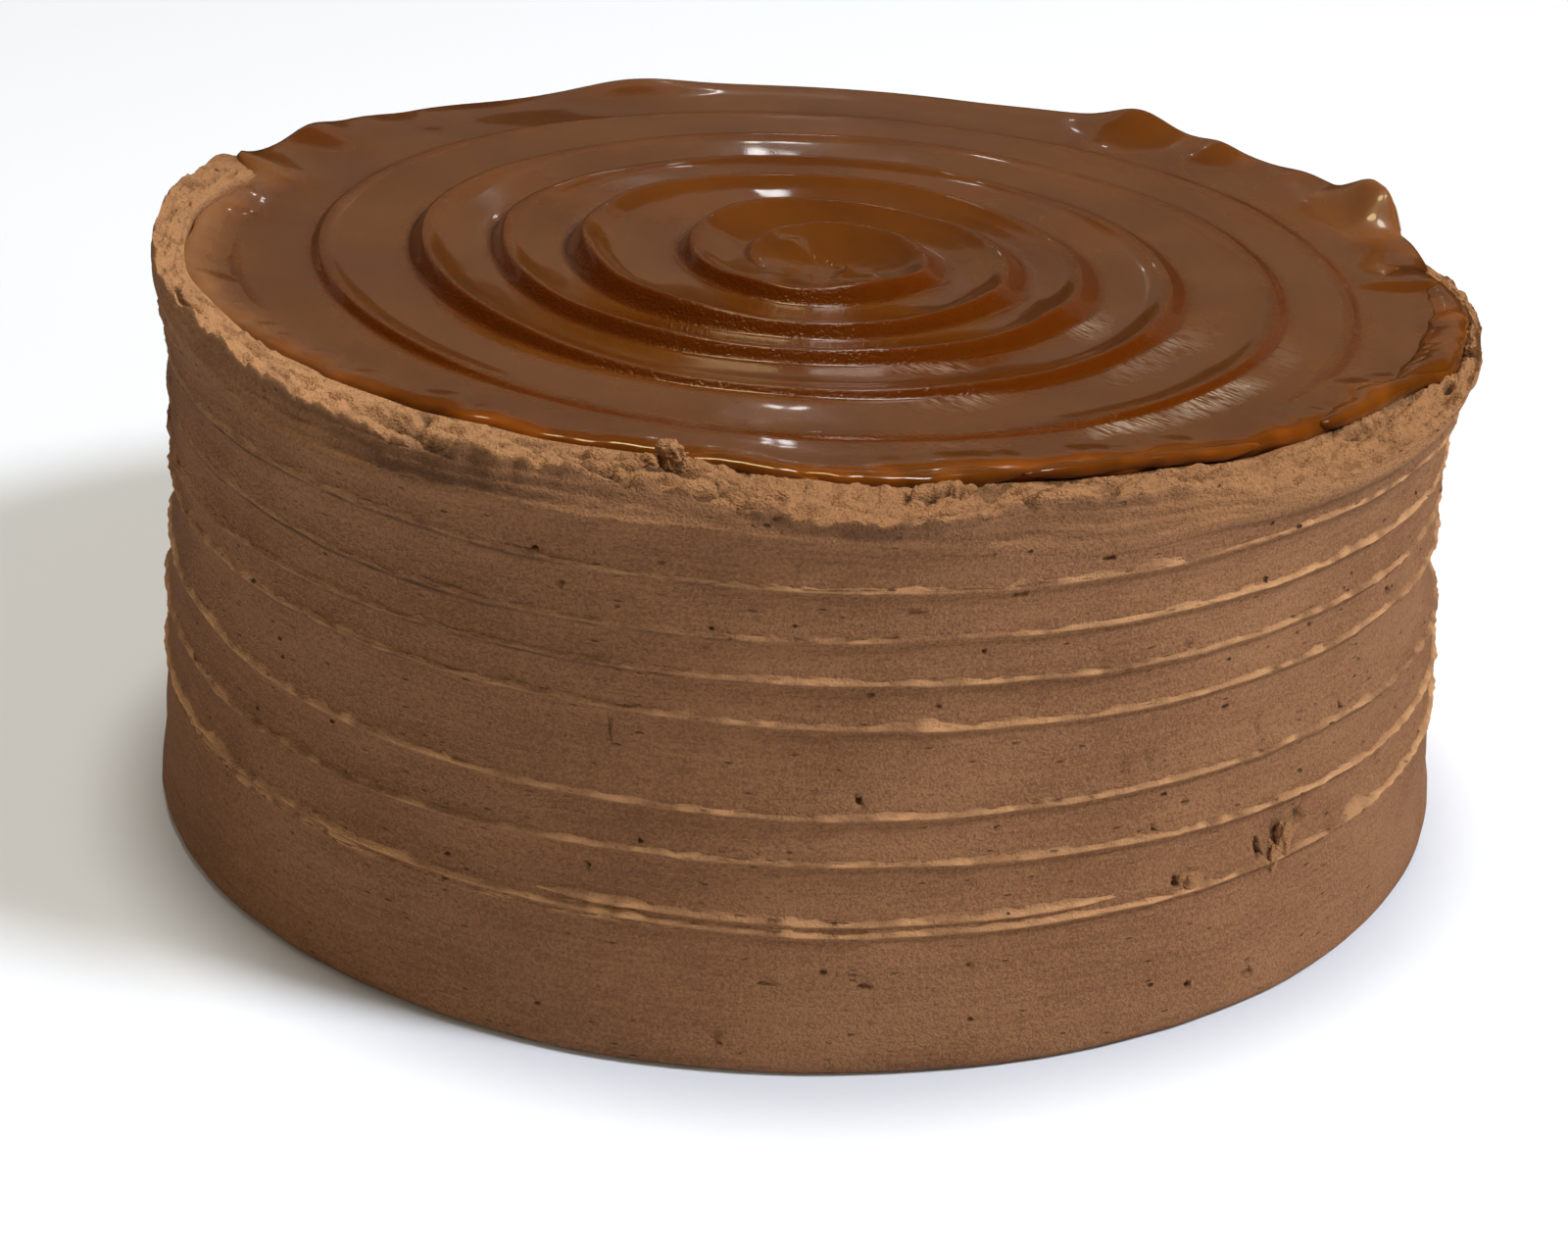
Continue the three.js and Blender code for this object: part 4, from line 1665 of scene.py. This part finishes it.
    def rough_edge(self, angle: Numbers, length: float, layer: float, octaves: int) -> Numbers:
        """Rough noise along the pool's edge, without a seam.

        Args:
            angle: Angle of each column.
            length: Length of one bump.
            layer: Number that sets this noise apart from the others.
            octaves: How many layers are added up.

        Returns:
            The noise at each angle.
        """
        turn = np.radians(angle)
        reach = 100.0 / length
        places = [reach * np.cos(turn), reach * np.sin(turn), np.full_like(angle, layer)]
        return self.noise.rough(np.stack(places, axis=-1) + 60.0, octaves)

    def edge_rows(self, angle: Numbers) -> tuple[list[Numbers], list[Numbers], Numbers]:
        """Rows of the rounded edge, from the hidden bottom up and in.

        Args:
            angle: Angle of each column.

        Returns:
            Rows of points, how thin the caramel is there, and the radius where the pool starts.
        """
        form = self.form
        film = at_angle(form.film, angle)
        wander = 1.2 * self.rough_edge(angle, 19.0, 0.0, 3) * (1.0 - film)
        wander = wander + 0.45 * self.rough_edge(angle, 5.0, 14.0, 2) * (1.0 - film)
        edge = at_angle(form.edge, angle) + wander
        bulge = 1.0 + 0.7 * self.rough_edge(angle, 11.0, 5.0, 2)
        bulge = bulge + 0.5 * self.rough_edge(angle, 4.0, 7.0, 2)
        patchy = np.clip(0.55 + 0.8 * self.rough_edge(angle, 8.0, 9.0, 2), 0.1, 1.0)
        reach, _ = form.lip_reach(angle, form.film_relief)
        start = edge - self.roll[-1][0]
        rows, clear = [], []
        for number, (inward, rise) in enumerate(self.roll):
            share = number / (len(self.roll) - 1)
            film_rise = blend(-self.film_drop, self.film_thick, smooth_step(0.0, 0.2, np.array(share)))
            film_rise = blend(film_rise, self.roll[-1][1], smooth_step(0.5, 1.0, np.array(share)))
            film_radius = blend(reach, start, share**1.5)
            radius = blend(edge - inward, film_radius, film)
            roll_rise = rise * np.where(rise > 0.1, bulge, 1.0)
            rows.append(form.top_points(angle, radius, blend(roll_rise, film_rise, film)))
            amber = at_angle(self.amber, angle) * patchy * blend(1.0, 0.3, film)
            clear.append(np.clip(self.roll_clear[number] * amber, 0.0, 1.0))
        return rows, clear, start

    def crest(self, turns: Numbers) -> Numbers:
        """Radius of the ridge's crest after some turns, with the hand's unsteadiness."""
        places = np.stack([turns * 9.0, 0 * turns, 0 * turns], axis=-1) + 5.0
        return self.pitch * turns + between(self.drift, turns) + 0.35 * self.noise.rough(places, 2)

    def tall(self, crest: Numbers, turns: Numbers, angle: Numbers) -> Numbers:
        """Height of the step at a crest.

        Args:
            crest: Radius of the crest.
            turns: Turns of the swirl.
            angle: Angles about the middle of the swirl.

        Returns:
            The heights.
        """
        places = np.stack([turns * 8.0, 0 * turns, 0 * turns], axis=-1) + 25.0
        side = blend(1.0, at_angle(self.tall_side, angle), smooth_step(18.0, 34.0, crest))
        side = side * (1.0 - at_angle(self.calm, angle) * smooth_step(40.0, 56.0, crest))
        begun = smooth_step(*self.first_turn, turns)
        return begun * between(self.ridge, crest) * side * (1.0 + 0.22 * self.noise.rough(places, 3))

    def swirl_rows(
        self, angle: Numbers, limit: Numbers
    ) -> tuple[list[Numbers], list[Numbers], list[Numbers]]:
        """Rows of the swirl from the pool's edge in to its middle.

        Each turn is a land that rises outwards to a rounded bead and then drops down a steep face.

        Args:
            angle: Angle of each column.
            limit: Radius where the rounded edge starts.

        Returns:
            Rows of points, how much the surface is creased there, and how near a foot of a face it is.
        """
        form = self.form
        share = np.arange(self.columns + 1) / self.columns
        seam_turns = (SEAM_ANGLE - FRONT_ANGLE) / 360.0
        drop = at_angle(self.bead_drop, angle)
        spread = at_angle(self.face_spread, angle)
        edge_rise = self.roll[-1][1]
        least, more = self.face_width
        rows, creased, feet = [], [], []
        for turn in range(-1, self.turns - 1):
            turns = turn + self.front_phase - seam_turns - share
            crest, inner_crest = self.crest(turns), self.crest(turns - 1)
            tall = self.tall(np.maximum(crest, 0.0), turns, angle)
            face = spread * (least + more * tall)
            inner_tall = self.tall(np.maximum(inner_crest, 0.0), turns - 1, angle)
            inner_face = spread * (least + more * inner_tall)
            gap = crest - inner_crest
            bead = np.clip(self.bead_width, 0.0, 0.45 * gap)
            land_start = inner_crest + 1.25 * inner_face
            land_end = np.maximum(crest - bead, land_start + 0.2 * gap)
            bead = crest - land_end
            fillet = at_angle(self.fillet, angle)
            steps = []
            for part in self.land_shares:
                rise = blend(fillet * (1.0 - part) ** 3, 1.0 - drop, part)
                land = blend(land_start, land_end, part)
                steps.append((land, rise, 0.4 * (1.0 - part) ** 6, 1.0 - part))
            for part in self.bead_steps:
                rise = 1.0 - drop * smooth_step(0.1, 1.0, np.array(-part))
                steps.append((crest + part * bead, rise, max(0.0, 1.0 + part * 2.5), 0.0))
            for part in self.face_steps:
                rise = between(self.face_shape, np.array(part))
                steps.append((crest + part * face, rise, self.face_crease, 0.0))
            for radius, rise, crease, foot in steps:
                level = rise * tall * smooth_step(0.0, 5.0, limit - radius)
                fade = smooth_step(0.0, 10.0, limit - radius)
                over = radius > limit - 0.2
                under = (radius < self.start_radius) | (turns < 0.1)
                radius = np.where(over, limit, np.where(under, self.start_radius, radius))
                level = blend(edge_rise, level, fade)
                level = np.where(over, edge_rise, np.where(under, 0.0, level))
                rows.append(form.top_points(angle, radius, level))
                creased.append(np.where(over | under, 0.0, crease))
                feet.append(np.where(over | under, 0.0, foot))
        return rows[::-1], creased[::-1], feet[::-1]

    def build(self) -> bpy.types.Object:
        """Makes the caramel as one closed mesh.

        Returns:
            The finished piece.
        """
        form = self.form
        angle = SEAM_ANGLE + 360.0 * (np.arange(self.columns + 1) % self.columns) / self.columns
        edge, edge_clear, limit = self.edge_rows(angle)
        swirl, swirl_creased, swirl_feet = self.swirl_rows(angle, limit)
        zero = 0.0 * angle
        bottom = form.top_points(angle, zero, zero - self.depth)
        brink = form.top_points(angle, limit + self.brink_out, zero - self.depth)
        pole = form.top_points(angle, zero, zero)
        points = np.array([bottom, brink, *edge, *swirl, pole])
        swirl_clear = [self.face_clear * (crease == self.face_crease) for crease in swirl_creased]
        clear = np.array([zero, zero, *edge_clear, *swirl_clear, zero])
        creased = np.array([zero, zero, *[zero] * len(edge), *swirl_creased, zero])
        feet = np.array([zero, zero, *[zero] * len(edge), *swirl_feet, zero])
        top = points[2:]
        _, radius = form.from_swirl(top)
        inward = limit[None, :] + self.roll[-1][0] - radius
        wave = self.swell * self.noise.rough(top / self.swell_size, 2) * smooth_step(8.0, 22.0, inward)
        climb = at_angle(form.climb, angle) * (1.0 - smooth_step(0.0, self.climb_reach, inward))
        lift = form.film_lift(np.broadcast_to(angle, top.shape[:2]), radius)
        top[..., 2] += wave + climb + lift + self.middle(top) + self.stroke_end(top)
        milky = at_angle(self.milky, angle) * (1.0 - smooth_step(0.0, self.milky_reach, inward))
        milky = np.concatenate([np.zeros((2, len(angle))), milky])
        rows = len(points) - 1
        piece = fresh_grid("caramel_pool", self.columns, rows)
        row, column = grid_cells(piece, self.columns, rows)
        placed = points[row, column]
        write_points(piece, placed)
        write_mark(piece, Mark.THIN, clear[row, column])
        write_mark(piece, Mark.TORN, milky[row, column])
        write_mark(piece, Mark.SHEEN, creased[row, column])
        # Painted shade on the steep faces of the swirl.
        write_mark(piece, Mark.PAINTED_SHADE, 1.0 * (creased[row, column] == self.face_crease))
        near_foot = smooth_step(0.05, 0.8, feet[row, column])
        # Where the painted sheen and the wrinkle bump go: near the feet of the faces at the front right.
        write_mark(piece, Mark.PAINTED_SHEEN, near_foot * self.wrinkled(placed))
        weld(piece)
        return piece

    def middle(self, points: Numbers) -> Numbers:
        """Bowl and small curls where the swirl starts.

        Args:
            points: Points of the top.

        Returns:
            Heights to add.
        """
        x, y = points[..., 0] - self.form.top_centre[0], points[..., 1] - self.form.top_centre[1]
        bowl_x, bowl_y, bowl_reach = self.bowl
        height = -self.hollow * np.exp(-((np.hypot(x - bowl_x, y - bowl_y) / bowl_reach) ** 4))
        for curl_x, curl_y, rise, reach in self.curls:
            height = height + rise * np.exp(-(((x - curl_x) ** 2 + (y - curl_y) ** 2) / reach**2))
        return height

    def stroke_end(self, points: Numbers) -> Numbers:
        """Low step across the outer land at the right, where one stroke ends on another.

        Args:
            points: Points of the top.

        Returns:
            Heights to add.
        """
        place, middle, reach, rise = self.stroke
        angle, radius = self.form.from_swirl(points)
        behind = np.radians(wrapped(angle - place)) * radius
        step = smooth_step(-0.5, 0.5, behind) * (1.0 - smooth_step(1.5, 14.0, behind))
        return rise * step * np.exp(-(((radius - middle) / reach) ** 4))

    def wrinkled(self, points: Numbers) -> Numbers:
        """How much the lands are wrinkled and carry the painted sheen, most of all at the front right.

        Args:
            points: Points of the top.

        Returns:
            The share of wrinkles and painted sheen.
        """
        angle, radius = self.form.from_swirl(points)
        apart = wrapped(angle - self.wrinkle_angle) / self.wrinkle_spread
        front_right = np.exp(-(apart**4)) * smooth_step(*self.wrinkle_from, radius)
        patches = smooth_step(-0.7, 0.1, self.noise.smooth(points / 17.0 + 9.0))
        return front_right * patches * smooth_step(0.0, self.wrinkle_fade, self.wrinkle_end - radius)


@dataclass(frozen=True)
class Fold:
    """One rolled-over stretch of caramel along the pool's edge."""

    first: float
    last: float
    thick: float
    out: float
    rise: float


@dataclass
class CaramelFolds:
    """Thick rolls and drips where the caramel's edge has folded over."""

    form: CakeForm
    folds: tuple[Fold, ...] = (
        Fold(-103.0, -91.0, 1.8, 0.5, -0.6), Fold(-92.0, -70.0, 1.6, 0.5, -0.7),
        Fold(-71.0, -46.0, 1.4, 0.3, -0.7), Fold(-38.0, -14.0, 2.0, 0.4, -0.5),
        Fold(-24.0, 5.0, 2.2, -0.6, 0.1),
    )
    step: float = 0.7
    around: int = 16
    reach: float = 100.0
    swell: float = 0.22
    swell_length: float = 9.0
    flatness: float = 0.75
    inner_spread: float = 0.9
    noise: LatticeNoise = field(default_factory=lambda: LatticeNoise(47))

    def build(self) -> bpy.types.Object:
        """Makes all the folds as one piece.

        Returns:
            The finished piece.
        """
        pieces = [self.roll(number, fold) for number, fold in enumerate(self.folds)]
        return join(pieces, "caramel_folds")

    def roll(self, number: int, fold: Fold) -> bpy.types.Object:
        """Makes one closed, tapered, uneven roll.

        Args:
            number: Number of the fold.
            fold: Its place and size.

        Returns:
            The roll.
        """
        form = self.form
        columns = round(math.radians(fold.last - fold.first) * self.reach / self.step)
        share = np.linspace(0.0, 1.0, columns + 1)
        angle = blend(fold.first, fold.last, share)
        travel = share * columns * self.step / self.swell_length
        travel = np.stack([travel, 0 * share + 3.0 * number, 0 * share], axis=-1)
        swell = 1.0 + self.swell * self.noise.rough(travel, 3)
        thick = fold.thick * swell * np.sqrt(np.clip(1.0 - (2.0 * share - 1.0) ** 4, 0.0, 1.0))
        wander = 0.5 * self.noise.rough(travel + 40.0, 2)
        wander = wander + 0.25 * self.noise.rough(travel * 2.5 + 80.0, 2)
        radius = at_angle(form.edge, angle) + fold.out + wander
        rows = []
        for step in range(self.around + 1):
            turn = 2.0 * math.pi * (step % self.around) / self.around
            squash = self.flatness if math.sin(turn) > 0.0 else 1.0
            rise = fold.rise + thick * math.sin(turn) * squash
            spread = 1.0
            if math.cos(turn) < 0.0:
                spread = 1.0 + self.inner_spread * (1.0 - max(math.sin(turn), 0.0))
            rows.append(form.top_points(angle, radius + thick * math.cos(turn) * spread, rise))
        points = np.array(rows)
        piece = fresh_grid(f"fold_{number}", columns, self.around)
        row, column = grid_cells(piece, columns, self.around)
        write_points(piece, points[row, column])
        clear = 0.15 + 0.4 * self.noise.smooth(points / 4.0 + 70.0)
        write_mark(piece, Mark.THIN, np.clip(clear, 0.0, 0.8)[row, column])
        write_mark(piece, Mark.SHEEN, 0.0 * column)
        write_mark(piece, Mark.PAINTED_SHEEN, 0.0 * column)
        weld(piece)
        return piece


@dataclass(frozen=True)
class Lump:
    """A torn lump of frosting: where it sits, its half sizes along, out and up, and its draw."""

    angle: float
    radius: float
    height: float
    along: float
    out: float
    up: float
    draw: float


@dataclass
class FrostingLumps:
    """Lumps and flakes of frosting that stand on the lip and stick to the side."""

    form: CakeForm
    lumps: tuple[Lump, ...] = (
        Lump(-102.6, 89.8, 89.6, 2.3, 1.8, 2.2, 0.0), Lump(-104.4, 91.6, 88.6, 2.0, 1.7, 1.3, 4.0),
        Lump(-47.4, 107.9, 23.6, 1.5, 1.1, 2.2, 8.0), Lump(-46.2, 108.0, 26.2, 1.6, 1.2, 2.6, 12.0),
        Lump(-56.6, 107.7, 24.6, 2.2, 0.9, 1.3, 16.0),
    )
    bulge: float = 0.36
    crumb: float = 0.08
    noise: LatticeNoise = field(default_factory=lambda: LatticeNoise(59))

    def build(self) -> bpy.types.Object:
        """Makes all the lumps as one piece.

        Returns:
            The finished piece.
        """
        return join([self.lump(lump) for lump in self.lumps], "frosting_lumps")

    def lump(self, lump: Lump) -> bpy.types.Object:
        """Makes one closed lump.

        Args:
            lump: Its place and size.

        Returns:
            The lump.
        """
        bpy.ops.object.select_all(action="DESELECT")
        bpy.ops.mesh.primitive_ico_sphere_add(subdivisions=5, radius=1.0, calc_uvs=False)
        piece = bpy.context.object
        way = read_points(piece)
        swell = 1.0 + self.bulge * self.noise.rough(way * 1.2 + lump.draw, 2)
        swell = swell + self.crumb * self.noise.rough(way * 5.0 + lump.draw + 30.0, 2)
        local = way * swell[:, None] * np.array([lump.out, lump.along, lump.up])
        turn = math.radians(lump.angle)
        away = np.array([math.cos(turn), math.sin(turn), 0.0])
        across = np.array([-math.sin(turn), math.cos(turn), 0.0])
        centre = away * lump.radius + np.array([0.0, 0.0, lump.height])
        points = centre + local[:, :1] * away + local[:, 1:2] * across
        points[:, 2] += local[:, 2]
        write_points(piece, points)
        write_mark(piece, Mark.TORN, np.ones(len(points)))
        weld(piece)
        return piece


WARM: Span = (1.0, 0.87, 0.67)
GOLD: Span = (1.0, 0.8, 0.42)
PALE: Span = (1.0, 0.95, 0.85)


class Glow(Enum):
    """How a light shows: it lights surfaces softly, or it is only seen mirrored in glossy ones."""

    SOFT = "soft"
    MIRRORED = "mirrored"


@dataclass(frozen=True)
class StudioLight:
    """An oval light that points at the cake, with its place and size in metres."""

    name: str
    place: Span
    size: tuple[float, float]
    watts: float
    colour: Span = (1.0, 1.0, 1.0)
    glow: Glow = Glow.SOFT


@dataclass
class Studio:
    """Floor, soft lights and the camera."""

    lens: float = 81.0
    sensor: float = 36.0
    place: Span = (-2.65, -555.7, 279.6)
    elevation: float = 24.72
    roll: float = -1.735
    floor_size: float = 12.0
    room: Colour = (1.0, 0.96, 0.88, 1.0)
    room_strength: float = 0.15
    aim: Span = (0.0, 0.0, 0.06)
    lights: tuple[StudioLight, ...] = (
        StudioLight("key_light", (1.5, -0.5, 1.7), (0.5, 0.5), 48.0, (0.92, 1.01, 1.18)),
        StudioLight("top_light", (0.0, 0.3, 2.4), (0.6, 0.6), 32.0, (1.0, 0.98, 0.93)),
        StudioLight("left_light", (-2.4, -1.2, 0.9), (1.2, 0.8), 10.0, (1.0, 0.86, 0.62)),
        StudioLight("low_light", (1.7, -0.9, 0.35), (0.6, 0.4), 6.4, (1.0, 0.97, 0.92)),
        StudioLight("left_lamp", (0.037, 2.0, 0.885), (0.01, 0.022), 0.007, glow=Glow.MIRRORED),
        StudioLight("right_lamp", (0.051, 2.0, 0.885), (0.01, 0.022), 0.007, glow=Glow.MIRRORED),
        StudioLight("high_lamp", (0.14, 2.0, 1.33), (0.02, 0.03), 0.024, glow=Glow.MIRRORED),
        StudioLight("back_panel", (0.0, 3.02, 1.29), (8.0, 1.02), 3.7, WARM, Glow.MIRRORED),
        StudioLight("lower_panel", (0.0, 3.0, 0.4), (8.0, 0.8), 0.35, WARM, Glow.MIRRORED),
        StudioLight("upper_panel", (0.0, 1.9, 2.4), (6.0, 2.7), 2.4, WARM, Glow.MIRRORED),
        StudioLight("gold_panel", (-0.4, -0.4, 2.2), (0.9, 0.4), 16.0, GOLD, Glow.MIRRORED),
        StudioLight("white_panel", (0.5, -0.4, 2.2), (0.8, 0.4), 17.0, PALE, Glow.MIRRORED),
    )
    finish: FloorFinish = field(default_factory=FloorFinish)

    def camera(self) -> None:
        """Sets the camera at the photograph's viewing angle."""
        tilt, lean = math.radians(self.elevation), math.radians(self.roll)
        forward = Vector((0.0, math.cos(tilt), -math.sin(tilt)))
        right = Vector((1.0, 0.0, 0.0))
        down = Vector((0.0, -math.sin(tilt), -math.cos(tilt)))
        across = math.cos(lean) * right + math.sin(lean) * down
        fall = -math.sin(lean) * right + math.cos(lean) * down
        turn = Matrix((across, -fall, -forward)).transposed()
        bpy.ops.object.camera_add()
        camera = bpy.context.object
        camera.name = "camera"
        camera.data.lens = self.lens
        camera.data.sensor_width = self.sensor
        camera.matrix_world = Matrix.Translation(Vector(self.place) * MM) @ turn.to_4x4()
        bpy.context.scene.camera = camera

    def light(self, plan: StudioLight) -> None:
        """Adds one of the lights.

        Args:
            plan: The light.
        """
        bpy.ops.object.light_add(type="AREA", location=plan.place)
        light = bpy.context.object
        light.name = plan.name
        light.data.shape = "ELLIPSE"
        light.data.size, light.data.size_y = plan.size
        light.data.energy = plan.watts
        light.data.color = plan.colour
        toward = Vector(self.aim) - Vector(plan.place)
        light.rotation_euler = toward.to_track_quat("-Z", "Y").to_euler()
        light.visible_camera = False
        light.visible_glossy = plan.glow is Glow.MIRRORED
        light.visible_diffuse = plan.glow is Glow.SOFT

    def build(self) -> None:
        """Makes the floor, the lights and the camera."""
        bpy.ops.object.select_all(action="DESELECT")
        bpy.ops.mesh.primitive_plane_add(size=self.floor_size)
        floor = bpy.context.object
        floor.name = "floor"
        floor.data.materials.append(self.finish.material())
        floor.visible_glossy = False
        world = bpy.data.worlds.new("soft_room")
        world.use_nodes = True
        world.node_tree.nodes["Background"].inputs["Color"].default_value = self.room
        world.node_tree.nodes["Background"].inputs["Strength"].default_value = self.room_strength
        world.cycles_visibility.glossy = False
        bpy.context.scene.world = world
        for plan in self.lights:
            self.light(plan)
        bpy.context.scene.view_settings.view_transform = "Standard"
        self.camera()


def main() -> None:
    """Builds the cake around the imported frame."""
    logging.basicConfig(level=logging.INFO, format="%(message)s")
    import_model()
    Studio().build()
    form = CakeForm()
    frosting = FrostingFinish().material()
    caramel = CaramelFinish().material()
    wall = FrostingWall(form)
    smears = (
        SmearBurr(wall, "lower_burr", -1.0, 3.93),
        SmearBurr(wall, "upper_burr", 3.87, 7.4),
        SmearBurr(wall, "base_burr", -0.09, 0.075, 1.75),
    )
    for maker in (wall, *smears, TornLip(form), FrostingLumps(form)):
        fit(maker.build(), frosting, Slot.FROSTING, "frosted_cake")
    for maker in (CaramelPool(form), CaramelFolds(form)):
        fit(maker.build(), caramel, Slot.CARAMEL, "caramel")


if __name__ == "__main__":
    main()
